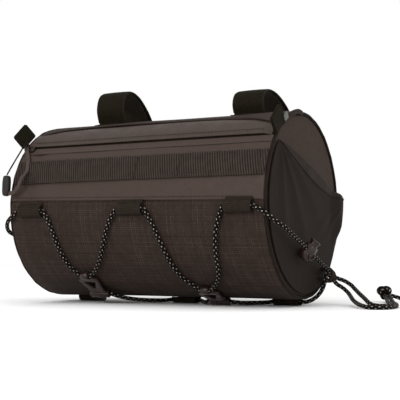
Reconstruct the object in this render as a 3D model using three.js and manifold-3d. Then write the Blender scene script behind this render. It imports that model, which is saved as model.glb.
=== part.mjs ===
// A cylindrical handlebar bag for a bicycle. A zipped lid opens along the top, two hook-and-loop
// straps hold it to the bar, and an elastic cord is laced over its front and under its base.
// Millimetres. X runs along the bag, the front faces -Y, and the floor is z = 0.
// Angles round the bag are in degrees: 0 at the front, 90 at the top, 180 at the back.

import * as THREE from "three";
import { mergeVertices } from "three/addons/utils/BufferGeometryUtils.js";
import Module from "manifold-3d";

const wasm = await Module();
wasm.setup();

// ---- driving dimensions ----
const BAG_RADIUS = 70;
const BAG_LENGTH = 222;
const GROUND_CLEARANCE = 5.2; // the bag lies on its lower cord tabs and a cord hook
const FABRIC = 2; // outer fabric with its thin padding
const GAP = 0.3; // between pieces that touch
const CORD_DIAMETER = 3;
const WEBBING = 1.5;
const STRAP_WIDTH = 25;

const AXIS_Z = BAG_RADIUS + GROUND_CLEARANCE;
const CORD_RADIUS = CORD_DIAMETER / 2;
const HALF = BAG_LENGTH / 2;
const PANEL_HALF = HALF - 3; // the fabric panels stop at the piping
const LID_HALF = PANEL_HALF - 12; // the lid stops short, and a gusset fills each end

// angles of the seams
const LOWER_SEAM = -114.8;
const FRONT_SEAM = 2.5;
const ZIP_ANGLE = 42.6;
const FLAP_SEAM = 66;
const LID_HINGE = 85.2;
const BACK_SEAM = LOWER_SEAM + 360;

// the zip: two tapes with a groove between them, in which the slider runs
const TAPE_EDGE = 1;
const TAPE_WIDTH = 3.3;
const SLIDER_REACH = 4;

// ---- materials ----
const material = (color, roughness, metalness = 0) =>
  new THREE.MeshStandardMaterial({ color, roughness, metalness });
const RIPSTOP = material(0x3f3633, 0.85);
const COATED = material(0x4c443f, 0.7);
const LINING = material(0x6b6b68, 0.9);
const WEB = material(0x211f1c, 0.8);
const STRETCH = material(0x2c2826, 0.9);
const PIPING = material(0x55504b, 0.6);
const CORD = material(0x1c1b1a, 0.75);
const PLASTIC = material(0x2b2523, 0.4);
const METAL = material(0x9a9a98, 0.35, 1);

// ---- helpers ----
// The pieces are placed from the bag's own axis, then moved so that their common box is centred.
const part = new THREE.Group();
const bag = new THREE.Group();
bag.position.set(-2.9, 3.1, 0);
part.add(bag);
const rad = THREE.MathUtils.degToRad;
const degreesOf = (length) => THREE.MathUtils.radToDeg(length / BAG_RADIUS);
const along = new THREE.Vector3(1, 0, 0);
const outward = (angle) => new THREE.Vector3(0, -Math.cos(rad(angle)), Math.sin(rad(angle)));
const upward = (angle) => new THREE.Vector3(0, Math.sin(rad(angle)), Math.cos(rad(angle)));

function add(name, geometry, look) {
  const mesh = new THREE.Mesh(geometry, look);
  mesh.name = name;
  bag.add(mesh);
  return mesh;
}

// A point in the plane across the bag, given from the bag's own axis.
const fromAxis = (x, y, height) => new THREE.Vector3(x, y, AXIS_Z + height);

// A point at an angle round the bag, a distance off its surface.
const onBag = (x, angle, off) =>
  outward(angle).multiplyScalar(BAG_RADIUS + off).add(fromAxis(x, 0, 0));

// An outline extruded, then laid along three axes: two for the outline and one for the depth.
function extruded(shape, depth, [u, v, w], origin, curveSegments = 12) {
  const geometry = new THREE.ExtrudeGeometry(shape, { depth, bevelEnabled: false, curveSegments });
  return geometry.applyMatrix4(new THREE.Matrix4().makeBasis(u, v, w).setPosition(origin));
}

// Outline across the bag (how far up the surface, how far out of it), extruded along the bag.
const acrossAt = (shape, x0, x1, angle, off, curveSegments) =>
  extruded(shape, x1 - x0, [upward(angle), outward(angle), along], onBag(x0, angle, off), curveSegments);

// Outline on the bag (along it, up it), extruded outwards.
const plateAt = (shape, depth, x, angle, off, curveSegments) =>
  extruded(shape, depth, [along, upward(angle), outward(angle)], onBag(x, angle, off), curveSegments);

// A strip of the bag's skin between two angles, two distances off the surface and two stations.
function strip(angle0, angle1, inner, outer, x0, x1) {
  const from = Math.PI - rad(angle1);
  const to = Math.PI - rad(angle0);
  const shape = new THREE.Shape();
  shape.absarc(0, 0, BAG_RADIUS + outer, from, to, false);
  shape.absarc(0, 0, BAG_RADIUS + inner, to, from, true);
  const axes = [new THREE.Vector3(0, 1, 0), new THREE.Vector3(0, 0, 1), along];
  const segments = Math.max(2, Math.ceil((angle1 - angle0) / 8));
  return extruded(shape, x1 - x0, axes, fromAxis(x0, 0, 0), segments);
}

function polygon(points) {
  return new THREE.Shape(points.map(([u, v]) => new THREE.Vector2(u, v)));
}

function roundedBox(left, bottom, right, top, radius) {
  const shape = new THREE.Shape();
  shape.absarc(right - radius, bottom + radius, radius, -Math.PI / 2, 0, false);
  shape.absarc(right - radius, top - radius, radius, 0, Math.PI / 2, false);
  shape.absarc(left + radius, top - radius, radius, Math.PI / 2, Math.PI, false);
  shape.absarc(left + radius, bottom + radius, radius, Math.PI, Math.PI * 1.5, false);
  return shape;
}

function hole(u, v, radius) {
  const path = new THREE.Path();
  path.absarc(u, v, radius, 0, Math.PI * 2, true);
  return path;
}

// A route that is sampled exactly at its own points.
class Route extends THREE.Curve {
  constructor(points) {
    super();
    this.points = points;
  }
  getPoint(t) {
    const at = t * (this.points.length - 1);
    const i = Math.min(Math.floor(at), this.points.length - 2);
    return this.points[i].clone().lerp(this.points[i + 1], at - i);
  }
  getPointAt(u) {
    return this.getPoint(u);
  }
  getTangentAt(u) {
    const last = this.points.length - 1;
    const i = Math.round(u * last);
    const here = this.points[i];
    const arriving = here.clone().sub(this.points[Math.max(i - 1, 0)]).normalize();
    const leaving = this.points[Math.min(i + 1, last)].clone().sub(here).normalize();
    return arriving.add(leaving).normalize();
  }
}

// A round cord along a route.
function cord(points, radius, sides = 8) {
  const section = [];
  for (let i = 0; i < sides; i++) {
    const turn = (i * 2 * Math.PI) / sides;
    section.push([radius * Math.cos(turn), radius * Math.sin(turn)]);
  }
  const extrudePath = new Route(points);
  const steps = points.length - 1;
  return new THREE.ExtrudeGeometry(polygon(section), { steps, extrudePath, bevelEnabled: false });
}

// A turned piece: its profile is (radius, station) pairs, and its axis is laid along a direction.
function turned(profile, direction, origin, segments) {
  const points = profile.map(([r, s]) => new THREE.Vector2(r, s));
  const turn = new THREE.Quaternion().setFromUnitVectors(new THREE.Vector3(0, 1, 0), direction);
  const one = new THREE.Vector3(1, 1, 1);
  return new THREE.LatheGeometry(points, segments).applyMatrix4(
    new THREE.Matrix4().compose(origin, turn, one),
  );
}

// A closed sheet: point(u, v, side) gives its outer face at side 1 and its inner face at side 0.
function sheet(columns, rows, point) {
  const vertices = [];
  const faces = [];
  const index = (i, j, side) => (i * (rows + 1) + j) * 2 + side;
  for (let i = 0; i <= columns; i++)
    for (let j = 0; j <= rows; j++)
      for (const side of [0, 1]) vertices.push(...point(i / columns, j / rows, side));
  const quad = (a, b, c, d) => faces.push(a, b, c, a, c, d);
  for (let i = 0; i < columns; i++)
    for (let j = 0; j < rows; j++) {
      quad(index(i, j, 1), index(i + 1, j, 1), index(i + 1, j + 1, 1), index(i, j + 1, 1));
      quad(index(i, j, 0), index(i, j + 1, 0), index(i + 1, j + 1, 0), index(i + 1, j, 0));
    }
  for (let i = 0; i < columns; i++) {
    quad(index(i, 0, 0), index(i + 1, 0, 0), index(i + 1, 0, 1), index(i, 0, 1));
    quad(index(i, rows, 1), index(i + 1, rows, 1), index(i + 1, rows, 0), index(i, rows, 0));
  }
  for (let j = 0; j < rows; j++) {
    quad(index(0, j, 1), index(0, j + 1, 1), index(0, j + 1, 0), index(0, j, 0));
    quad(index(columns, j, 0), index(columns, j + 1, 0), index(columns, j + 1, 1), index(columns, j, 1));
  }
  const geometry = new THREE.BufferGeometry();
  geometry.setAttribute("position", new THREE.Float32BufferAttribute(vertices, 3));
  geometry.setIndex(faces);
  return geometry;
}

// ---- booleans ----
function toSolid(geometry) {
  const bare = new THREE.BufferGeometry();
  bare.setAttribute("position", geometry.getAttribute("position").clone());
  if (geometry.index) bare.setIndex(geometry.index.clone());
  const merged = mergeVertices(bare, 1e-3);
  const vertProperties = new Float32Array(merged.attributes.position.array);
  const triVerts = new Uint32Array(merged.index.array);
  return new wasm.Manifold(new wasm.Mesh({ numProp: 3, vertProperties, triVerts }));
}

function toGeometry(solid) {
  const { vertProperties, triVerts } = solid.getMesh();
  const geometry = new THREE.BufferGeometry();
  geometry.setAttribute("position", new THREE.Float32BufferAttribute(vertProperties, 3));
  geometry.setIndex([...triVerts]);
  return geometry;
}

const joined = (...parts) => toGeometry(parts.map(toSolid).reduce((a, b) => a.add(b)));
const cut = (part, ...tools) =>
  toGeometry(tools.map(toSolid).reduce((left, tool) => left.subtract(tool), toSolid(part)));

// ---- fabric body ----
const seam = degreesOf(GAP) / 2; // half the gap between two panels
const zipClear = degreesOf(SLIDER_REACH + 0.6);
add("lower_panel", strip(LOWER_SEAM + seam, FRONT_SEAM - seam, -FABRIC, 0, -PANEL_HALF, PANEL_HALF), RIPSTOP);
add("front_band", strip(FRONT_SEAM + seam, ZIP_ANGLE - zipClear, -FABRIC, 0, -PANEL_HALF, PANEL_HALF), COATED);
add("back_panel", strip(LID_HINGE + seam, BACK_SEAM - seam, -FABRIC, 0, -PANEL_HALF, PANEL_HALF), COATED);

const STIFFENER_OUT = -FABRIC - GAP;
const STIFFENER = 2;
add(
  "foam_stiffener",
  strip(LID_HINGE + 1, ZIP_ANGLE - zipClear + 359, STIFFENER_OUT - STIFFENER, STIFFENER_OUT, -106.8, 106.8),
  LINING,
);

const DISC_RADIUS = BAG_RADIUS - 3.4;
const DISC_OUT = HALF - 1.4;
const DISC_THICKNESS = 2.4;
const PIPING_RADIUS = 1.35;
for (const [side, sign] of [["left", -1], ["right", 1]]) {
  const disc = [[0, 0], [DISC_RADIUS, 0], [DISC_RADIUS, DISC_THICKNESS], [0, DISC_THICKNESS]];
  const direction = new THREE.Vector3(sign, 0, 0);
  const inside = fromAxis(sign * (DISC_OUT - DISC_THICKNESS), 0, 0);
  add(`end_panel_${side}`, turned(disc, direction, inside, 40), RIPSTOP);
  const ring = new THREE.TorusGeometry(BAG_RADIUS - 1.5, PIPING_RADIUS, 6, 32).rotateY(Math.PI / 2);
  add(`piping_${side}`, ring.translate(sign * (HALF - 1.4), 0, AXIS_Z), PIPING);
}

// ---- lid, gussets and zip ----
const TAPE_IN = -1.2;
const TAPE_OUT = -0.2;
const lidFrom = ZIP_ANGLE + zipClear;
const lidTo = LID_HINGE - seam;
const upperTape = [ZIP_ANGLE + degreesOf(TAPE_EDGE), ZIP_ANGLE + degreesOf(TAPE_EDGE + TAPE_WIDTH)];
const lowerTape = [ZIP_ANGLE - degreesOf(TAPE_EDGE + TAPE_WIDTH), ZIP_ANGLE - degreesOf(TAPE_EDGE)];

add("lid_panel", strip(lidFrom, lidTo, -FABRIC, 0, -LID_HALF, LID_HALF), COATED);
add("storm_flap", strip(lidFrom + 0.2, FLAP_SEAM, 0.4, 1.6, 1 - LID_HALF, LID_HALF - 1), COATED);
add("zip_tape_upper", strip(...upperTape, TAPE_IN, TAPE_OUT, -LID_HALF, LID_HALF), WEB);
add("zip_tape_lower", strip(...lowerTape, TAPE_IN, TAPE_OUT, -PANEL_HALF, PANEL_HALF), WEB);
for (const [side, sign] of [["left", -1], ["right", 1]]) {
  const [near, far] = [sign * (LID_HALF + GAP), sign * PANEL_HALF].sort((a, b) => a - b);
  add(`gusset_${side}`, strip(lidFrom, lidTo, -FABRIC, 0, near, far), COATED);
  add(`zip_tape_end_${side}`, strip(...upperTape, TAPE_IN, TAPE_OUT, near, far), WEB);
}

// The slider: a plate over the tapes and one under them, joined by a post in the groove, with a
// bridge on top for the pull. It is parked at the left end, past the lid.
const SLIDER_LEFT = -109.4;
const SLIDER_RIGHT = -99.2;
const SLIDER_INNER_LEFT = -106.6;
const PLATE_BOTTOM = 0.3;
const PLATE_TOP = 1.9;
const upperPlate = polygon([
  [-SLIDER_REACH, PLATE_BOTTOM], [SLIDER_REACH, PLATE_BOTTOM], [SLIDER_REACH, PLATE_TOP], [-SLIDER_REACH, PLATE_TOP],
]);
const lowerPlate = polygon([
  [-SLIDER_REACH, -3.2], [SLIDER_REACH, -3.2], [SLIDER_REACH, -1.7], [0.6, -1.7],
  [0.6, 0.6], [-0.6, 0.6], [-0.6, -1.7], [-SLIDER_REACH, -1.7],
]);
const BRIDGE_X = -106.2;
const BAR_HALF = 0.6;
const PULL_PIVOT = 4.6; // height of the bridge's bar over the bag
const [barTop, barBottom] = [PULL_PIVOT + BAR_HALF, PULL_PIVOT - BAR_HALF];
const bridge = polygon([
  [-3.1, 1.5], [-3.1, barTop], [3.1, barTop], [3.1, 1.5], [1.9, 1.5], [1.9, barBottom], [-1.9, barBottom], [-1.9, 1.5],
]);
const bridgeAxes = [along, outward(ZIP_ANGLE), upward(ZIP_ANGLE).negate()];
const bridgeOrigin = onBag(BRIDGE_X, ZIP_ANGLE, 0).addScaledVector(upward(ZIP_ANGLE), BAR_HALF);
add(
  "zip_slider",
  joined(
    acrossAt(upperPlate, SLIDER_LEFT, SLIDER_RIGHT, ZIP_ANGLE, 0),
    acrossAt(lowerPlate, SLIDER_INNER_LEFT, SLIDER_RIGHT, ZIP_ANGLE, 0),
    extruded(bridge, 2 * BAR_HALF, bridgeAxes, bridgeOrigin),
  ),
  METAL,
);

// The pull: a loop of thin cord round the bridge's bar, both ends in a moulded grip. It hangs
// down the front of the bag, clear of the webbing, and leans towards the bag's end.
const PULL_ANGLE = 36;
const PULL_LENGTH = 30;
const PULL_LEAN = 4;
const PULL_TURN = 1.6;
const PULL_CORD = 0.6;
const GRIP = { length: 16, width: 6.4, thickness: 4.8 };
const GRIP_ANGLE = 4; // the grip hangs almost upright below the slanting cord
const pullPoint = (down, out) =>
  onBag(BRIDGE_X - (PULL_LEAN * down) / PULL_LENGTH, ZIP_ANGLE, PULL_PIVOT)
    .addScaledVector(upward(PULL_ANGLE), -down)
    .addScaledVector(outward(PULL_ANGLE), out);
const pullPath = [pullPoint(PULL_LENGTH, -PULL_TURN)];
for (let turn = -90; turn <= 90; turn += 30)
  pullPath.push(pullPoint(-PULL_TURN * Math.cos(rad(turn)), PULL_TURN * Math.sin(rad(turn))));
pullPath.push(pullPoint(PULL_LENGTH, PULL_TURN));
add("pull_cord", cord(pullPath, PULL_CORD), CORD);
const grip = roundedBox(-GRIP.width / 2, -GRIP.length, GRIP.width / 2, 0, 2.4);
const gripTop = pullPoint(PULL_LENGTH + 1.6, 0); // below both ends of the cord
const gripOrigin = gripTop.addScaledVector(outward(GRIP_ANGLE), -GRIP.thickness / 2);
const gripAxes = [along, upward(GRIP_ANGLE), outward(GRIP_ANGLE)];
add("pull_grip", extruded(grip, GRIP.thickness, gripAxes, gripOrigin, 4), PLASTIC);

// ---- webbing sewn on the outside ----
add("daisy_chain", strip(15, 31, GAP, GAP + WEBBING, -107, 107), WEB);
const GRAB_TAB_X = 110.9; // in the seam between the panels and the end panel
const GRAB_TAB_ANGLE = 50;
const GRAB_TAB_THICKNESS = 2.4;
for (const [side, sign] of [["left", -1], ["right", 1]]) {
  const tab = roundedBox(-8.5, 0.6, 8.5, 12, 1.5);
  const x0 = sign * GRAB_TAB_X - GRAB_TAB_THICKNESS / 2;
  add(`grab_tab_${side}`, acrossAt(tab, x0, x0 + GRAB_TAB_THICKNESS, GRAB_TAB_ANGLE, 0, 3), WEB);
}

// ---- cord tabs: folded webbing with a tunnel for the cord ----
const TAB_WIDTH = 21;
const TAB_HALF_HEIGHT = 5;
const TUNNEL = CORD_RADIUS + 0.2;
const TAB_THICKNESS = 2 * TUNNEL + 2;
const TAB_STATIONS = [-88, 2.5, 90.5];
const FRONT_TAB_ANGLE = -2.5;
const FRONT_TAB_OFF = 0.5;
const FRONT_TUNNEL = FRONT_TAB_OFF + TAB_THICKNESS / 2;
const LOWER_TAB_Y = 13;
const LOWER_TUNNEL = TAB_THICKNESS / 2 - AXIS_Z; // height from the axis: these tabs rest on the floor
function tabOutline(bottomRadius) {
  const shape = roundedBox(-TAB_HALF_HEIGHT, 0, TAB_HALF_HEIGHT, TAB_THICKNESS, bottomRadius);
  shape.holes.push(hole(0, TAB_THICKNESS / 2, TUNNEL));
  return shape;
}
TAB_STATIONS.forEach((x, i) => {
  const [x0, x1] = [x - TAB_WIDTH / 2, x + TAB_WIDTH / 2];
  const frontTab = acrossAt(tabOutline(1), x0, x1, FRONT_TAB_ANGLE, FRONT_TAB_OFF, 4);
  add(`cord_tab_front_${i + 1}`, frontTab, WEB);
  const axes = [new THREE.Vector3(0, 1, 0), new THREE.Vector3(0, 0, 1), along];
  const lowerTab = extruded(tabOutline(1), TAB_WIDTH, axes, new THREE.Vector3(x0, LOWER_TAB_Y, 0), 4);
  add(`cord_tab_lower_${i + 1}`, lowerTab, WEB);
});

// ---- cord lock and end anchors ----
// On each end the cord runs in a straight line down the panel to a webbing anchor.
const END_CORD_X = 119.5;
const endRun = new THREE.Vector3(0, 0.9367, -0.3503);
const endNormal = new THREE.Vector3(0, 0.3503, 0.9367);
const ANCHOR_Y = 28;
const ANCHOR_HEIGHT = -52;
const ANCHOR_LENGTH = 12;
const CORD_PITCH = 1.8; // half the distance between the two cords in an anchor
const anchorPoint = (sign, run, up) =>
  fromAxis(sign * END_CORD_X, ANCHOR_Y, ANCHOR_HEIGHT)
    .addScaledVector(endRun, run)
    .addScaledVector(endNormal, up);
for (const [side, sign] of [["left", -1], ["right", 1]]) {
  const shape = roundedBox(HALF - END_CORD_X + 0.6, -4.9, 3, 4.9, 1.2);
  const slot = new THREE.Path();
  slot.absarc(0, CORD_PITCH, TUNNEL, 0, Math.PI, false);
  slot.absarc(0, -CORD_PITCH, TUNNEL, Math.PI, Math.PI * 2, false);
  shape.holes.push(slot);
  const axes = [new THREE.Vector3(sign, 0, 0), endNormal, endRun.clone().multiplyScalar(-sign)];
  add(`cord_anchor_${side}`, extruded(shape, ANCHOR_LENGTH, axes, anchorPoint(sign, sign * ANCHOR_LENGTH / 2, 0), 6), WEB);
}

// The lock: a ball-shaped body and a sprung plunger, both with a cross hole for the cord.
const LOCK_RUN = -47.5; // from the anchor, along the cord
const LOCK_TILT = 35;
const LOCK_TRAVEL = 2.5;
const lockCentre = anchorPoint(1, LOCK_RUN, CORD_PITCH);
const lockAxis = endNormal.clone().multiplyScalar(Math.cos(rad(LOCK_TILT)));
lockAxis.addScaledVector(along, Math.sin(rad(LOCK_TILT)));
const lockSide = new THREE.Vector3().crossVectors(endRun, lockAxis);
const LOCK_BASE = -8.2;
const LOCK_FLOOR = -6.8;
const LOCK_MOUTH = 4.6;
const BORE = 4.2;
const lockProfile = [
  [0, LOCK_BASE], [3, LOCK_BASE], [5.2, -6.4], [6.3, -3.4], [6.4, -0.4], [5.9, 2.6], [5.1, LOCK_MOUTH],
  [BORE, LOCK_MOUTH], [BORE, LOCK_FLOOR], [0, LOCK_FLOOR],
];
const PLUNGER_BASE = -2.95;
const plungerProfile = [
  [0, PLUNGER_BASE], [BORE - GAP, PLUNGER_BASE], [BORE - GAP, 7.4], [4.7, 7.4], [4.7, 8.6], [3.6, 9.4], [0, 9.4],
];
function crossHole(top) {
  const shape = new THREE.Shape();
  shape.absarc(0, top, TUNNEL, 0, Math.PI, false);
  shape.absarc(0, 0, TUNNEL, Math.PI, Math.PI * 2, false);
  const depth = 20;
  const origin = lockCentre.clone().addScaledVector(endRun, -depth / 2);
  return extruded(shape, depth, [lockSide.clone().negate(), lockAxis, endRun], origin, 4);
}
add("lock_body", cut(turned(lockProfile, lockAxis, lockCentre, 14), crossHole(0.01)), PLASTIC);
add("lock_button", cut(turned(plungerProfile, lockAxis, lockCentre, 14), crossHole(LOCK_TRAVEL)), PLASTIC);

const SPRING_TURNS = 2.5;
const SPRING_RADIUS = 2.8;
const SPRING_WIRE = 0.35;
const springPoints = [];
for (let i = 0; i <= SPRING_TURNS * 8; i++) {
  const turn = (i * Math.PI) / 4;
  const rise = LOCK_FLOOR + 0.6 + (i / (SPRING_TURNS * 8)) * (PLUNGER_BASE - LOCK_FLOOR - 1.2);
  springPoints.push(
    lockCentre.clone()
      .addScaledVector(lockAxis, rise)
      .addScaledVector(lockSide, SPRING_RADIUS * Math.cos(turn))
      .addScaledVector(endRun, SPRING_RADIUS * Math.sin(turn)),
  );
}
add("lock_spring", cord(springPoints, SPRING_WIRE, 6), METAL);

// ---- cord hooks: a plate with a window, and an eye at each end for a cord ----
const HOOK_EYE = 13; // from the hook's middle to each eye
const HOOK_OFF = 2.2; // from the bag's surface to the middle of the plate
const NOSE_HALF = 3.2;
const FOOT_HALF = 8.2;
const [NOSE_REACH, FOOT_REACH] = [NOSE_HALF + 0.8, FOOT_HALF + 0.8];
const HOOKS = [
  { side: "left", x: -51.5, angle: -56.5 },
  { side: "right", x: 46.5, angle: -69.4 },
];
function eye(halfWidth, up, { x, angle }) {
  const shape = new THREE.Shape();
  shape.absarc(up, 0, 3, 0, Math.PI * 2, false);
  shape.holes.push(hole(up, 0, TUNNEL + 0.1));
  return acrossAt(shape, x - halfWidth, x + halfWidth, angle, HOOK_OFF, 7);
}
for (const hook of HOOKS) {
  const plate = polygon([[-3.2, 11], [-9, 8], [-6.5, -8], [-8.2, -11], [8.2, -11], [6.5, -8], [9, 8], [3.2, 11]]);
  const window = new THREE.Path([[-5.4, 5.6], [5.4, 5.6], [0, -5]].map(([u, v]) => new THREE.Vector2(u, v)));
  plate.holes.push(window);
  const flat = plateAt(plate, 2.4, hook.x, hook.angle, HOOK_OFF - 1.2);
  add(`cord_hook_${hook.side}`, joined(flat, eye(NOSE_HALF, HOOK_EYE, hook), eye(FOOT_HALF, -HOOK_EYE, hook)), PLASTIC);
}

// ---- the laced cord, in two lengths that meet in the left anchor ----
// A cord runs straight through a tunnel or an eye, and turns just outside it.
const bothEnds = (reach, place) => [place(-reach), place(reach)];
const TAB_REACH = TAB_WIDTH / 2 + 0.8;
const throughFrontTab = (i) =>
  bothEnds(TAB_REACH, (dx) => onBag(TAB_STATIONS[i] - dx, FRONT_TAB_ANGLE, FRONT_TUNNEL));
const throughLowerTab = (i) =>
  bothEnds(TAB_REACH, (dx) => fromAxis(TAB_STATIONS[i] + dx, LOWER_TAB_Y, LOWER_TUNNEL));
const throughHook = ({ x, angle }, up, reach) =>
  bothEnds(reach, (dx) =>
    onBag(x - Math.sign(up) * dx, angle, HOOK_OFF).addScaledVector(upward(angle), up));
const MOUTH = ANCHOR_LENGTH / 2 + GAP;
const OFF = 2.4; // a free stretch of cord stands this far off the bag
const [leftHook, rightHook] = HOOKS;

const upperRoute = [
  anchorPoint(1, MOUTH, CORD_PITCH), anchorPoint(1, -20, CORD_PITCH), anchorPoint(1, -36, CORD_PITCH),
  anchorPoint(1, -60, CORD_PITCH), anchorPoint(1, -78, CORD_PITCH), fromAxis(118.7, -58, -17.4),
  fromAxis(116.6, -65, -14.4), fromAxis(112.8, -70.4, -10), fromAxis(107.6, -73, -6), ...throughFrontTab(2),
  onBag(75.8, -6.8, OFF), onBag(72.8, -12.8, OFF), onBag(70.4, -20, OFF), onBag(68.6, -28, OFF),
  onBag(67.2, -35.6, OFF), onBag(65.2, -43, OFF), onBag(60.8, -50.6, OFF), onBag(55.2, -56, OFF),
  ...throughHook(rightHook, HOOK_EYE, NOSE_REACH),
  onBag(38.4, -55, OFF), onBag(33.2, -47.4, OFF), onBag(29.8, -39, OFF), onBag(27, -29, OFF),
  onBag(23.8, -19, OFF), onBag(19.4, -10, OFF), onBag(16.4, -5.6, OFF), ...throughFrontTab(1),
  onBag(-13, -6, OFF), onBag(-18, -12.4, OFF), onBag(-22.6, -20, OFF), onBag(-27.4, -28, OFF),
  onBag(-33, -35.4, OFF), onBag(-39.4, -41.6, OFF), onBag(-43.6, -44.6, OFF),
  ...throughHook(leftHook, HOOK_EYE, NOSE_REACH),
  onBag(-60.4, -42.4, OFF), onBag(-63.8, -36, OFF), onBag(-65.8, -28, OFF), onBag(-68, -19, OFF),
  onBag(-70.8, -11, OFF), onBag(-73.6, -6, OFF), ...throughFrontTab(0),
  fromAxis(-104, -73, -6), fromAxis(-110.4, -71.4, -10.4), fromAxis(-115, -67, -14.4),
  fromAxis(-118.4, -60, -18.4), anchorPoint(-1, -78, CORD_PITCH), anchorPoint(-1, -50, CORD_PITCH),
  anchorPoint(-1, -20, CORD_PITCH), anchorPoint(-1, MOUTH, CORD_PITCH),
];
add("bungee_upper", cord(upperRoute, CORD_RADIUS), CORD);

const lowerRoute = [
  anchorPoint(-1, MOUTH + GAP, CORD_PITCH), anchorPoint(-1, MOUTH + 4, CORD_PITCH + 0.2),
  fromAxis(-119.6, 42.4, -58), fromAxis(-117.6, 43.4, -62.4), fromAxis(-113.6, 39, -66),
  fromAxis(-109, 30, -69.4), fromAxis(-103.6, 20, -72.2), ...throughLowerTab(0),
  fromAxis(-72, 7, -73.2), fromAxis(-67.6, -4, -72.8), fromAxis(-64.6, -14, -71.2),
  ...throughHook(leftHook, -HOOK_EYE, FOOT_REACH),
  fromAxis(-36.4, -22, -70), fromAxis(-28, -11, -72.2), fromAxis(-18, 1, -73.1), fromAxis(-12, 9, -73),
  ...throughLowerTab(1), fromAxis(19.6, 7.4, -73), fromAxis(27, -4, -73.2), fromAxis(32.4, -11, -72.8),
  ...throughHook(rightHook, -HOOK_EYE, FOOT_REACH), fromAxis(62, -8, -73), fromAxis(70, 3, -73.2),
  fromAxis(75.6, 10, -73), ...throughLowerTab(2), fromAxis(107, 14.4, -71.8), fromAxis(112.6, 16.4, -68.4),
  fromAxis(117, 17.4, -62.6), fromAxis(119.2, 18.4, -55), anchorPoint(1, -MOUTH - 0.6, -CORD_PITCH),
  anchorPoint(1, MOUTH, -CORD_PITCH),
];
add("bungee_lower", cord(lowerRoute, CORD_RADIUS), CORD);

// ---- the cord's two free ends, tied together and lying on the floor ----
const FLOOR_CORD = CORD_RADIUS + 0.1;
const onFloor = (x, y, z = FLOOR_CORD) => new THREE.Vector3(x, y, z);
const tailStart = (up) => anchorPoint(1, MOUTH + GAP, up);
const KNOT_CENTRE = onFloor(137, 104.6, 5.8);
const tailA = [
  tailStart(CORD_PITCH), anchorPoint(1, 9.6, CORD_PITCH), onFloor(120.6, 41.4, 20.1), onFloor(124, 45.6, 18.4),
  onFloor(129, 45.6, 15.6), onFloor(134.6, 40, 12.4), onFloor(141.6, 30.4, 9.2), onFloor(149.6, 19.4, 6),
  onFloor(156, 10.4, 3.3), onFloor(161.6, 5.4, 2), onFloor(167.6, 6.8), onFloor(169.8, 13.5), onFloor(168.4, 22),
  onFloor(165, 32.6), onFloor(159.6, 47), onFloor(152, 67.5), onFloor(145.6, 85, 2.2), onFloor(140, 98.8, 5),
];
const tailB = [
  tailStart(-CORD_PITCH), anchorPoint(1, 9.6, -CORD_PITCH), onFloor(120.6, 39, 15.9), onFloor(124.2, 42, 13),
  onFloor(128.8, 40, 9.8), onFloor(133.4, 33, 7.4), onFloor(140, 20.6, 4.8), onFloor(149, 5, 2.9),
  onFloor(157.6, -8.2, 2), onFloor(164.6, -15), onFloor(172, -15.4), onFloor(176.6, -9), onFloor(176.8, 4),
  onFloor(172.6, 23), onFloor(164.6, 43.5), onFloor(156.6, 66), onFloor(149.8, 84.5, 2.2), onFloor(143, 99.6, 5),
];
const tailEnd = [
  onFloor(142.6, 106.2, 5.2), onFloor(147.4, 108.6, 3.6), onFloor(153, 110.6), onFloor(161, 112), onFloor(174, 112.4),
];
add("tail_a", cord(tailA, CORD_RADIUS), CORD);
add("tail_b", cord(tailB, CORD_RADIUS), CORD);
add("tail_end", cord(tailEnd, CORD_RADIUS), CORD);
add("tail_knot", new THREE.SphereGeometry(5.4, 12, 8).translate(...KNOT_CENTRE), CORD);

// ---- stretch pockets on the ends ----
const MOUTH_FRONT = [-51.5, 41];
const MOUTH_REAR = [63, 17];
const POCKET_RIM = DISC_RADIUS - 1;
const POCKET_FROM = 34;
const POCKET_TO = -194;
const POCKET_BULGE = 8;
const POCKET_SKIN = 1;
function pocketPoint(sign, u, v, side) {
  const rim = outward(POCKET_FROM + (POCKET_TO - POCKET_FROM) * u).multiplyScalar(POCKET_RIM);
  const y = MOUTH_FRONT[0] + (MOUTH_REAR[0] - MOUTH_FRONT[0]) * u;
  const height = MOUTH_FRONT[1] + (MOUTH_REAR[1] - MOUTH_FRONT[1]) * u;
  const slack = Math.sin(Math.PI * u) ** 0.7 * (1 - v) ** 2.4;
  const x = DISC_OUT + GAP + POCKET_BULGE * slack + side * POCKET_SKIN;
  return fromAxis(sign * x, y + (rim.y - y) * v, height + (rim.z - height) * v);
}
for (const [side, sign] of [["left", -1], ["right", 1]]) {
  // The left pocket is the right one mirrored, so it counts its columns the other way.
  const column = (u) => (sign > 0 ? 1 - u : u);
  add(`pocket_${side}`, sheet(18, 5, (u, v, face) => pocketPoint(sign, column(u), v, face)), STRETCH);
  const edge = [];
  for (let i = 0; i <= 10; i++) edge.push(pocketPoint(sign, 0.03 + 0.094 * i, 0, 0.5).add(new THREE.Vector3(0, 0, 1.7)));
  add(`pocket_binding_${side}`, cord(edge, 1.2), WEB);
}

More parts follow.
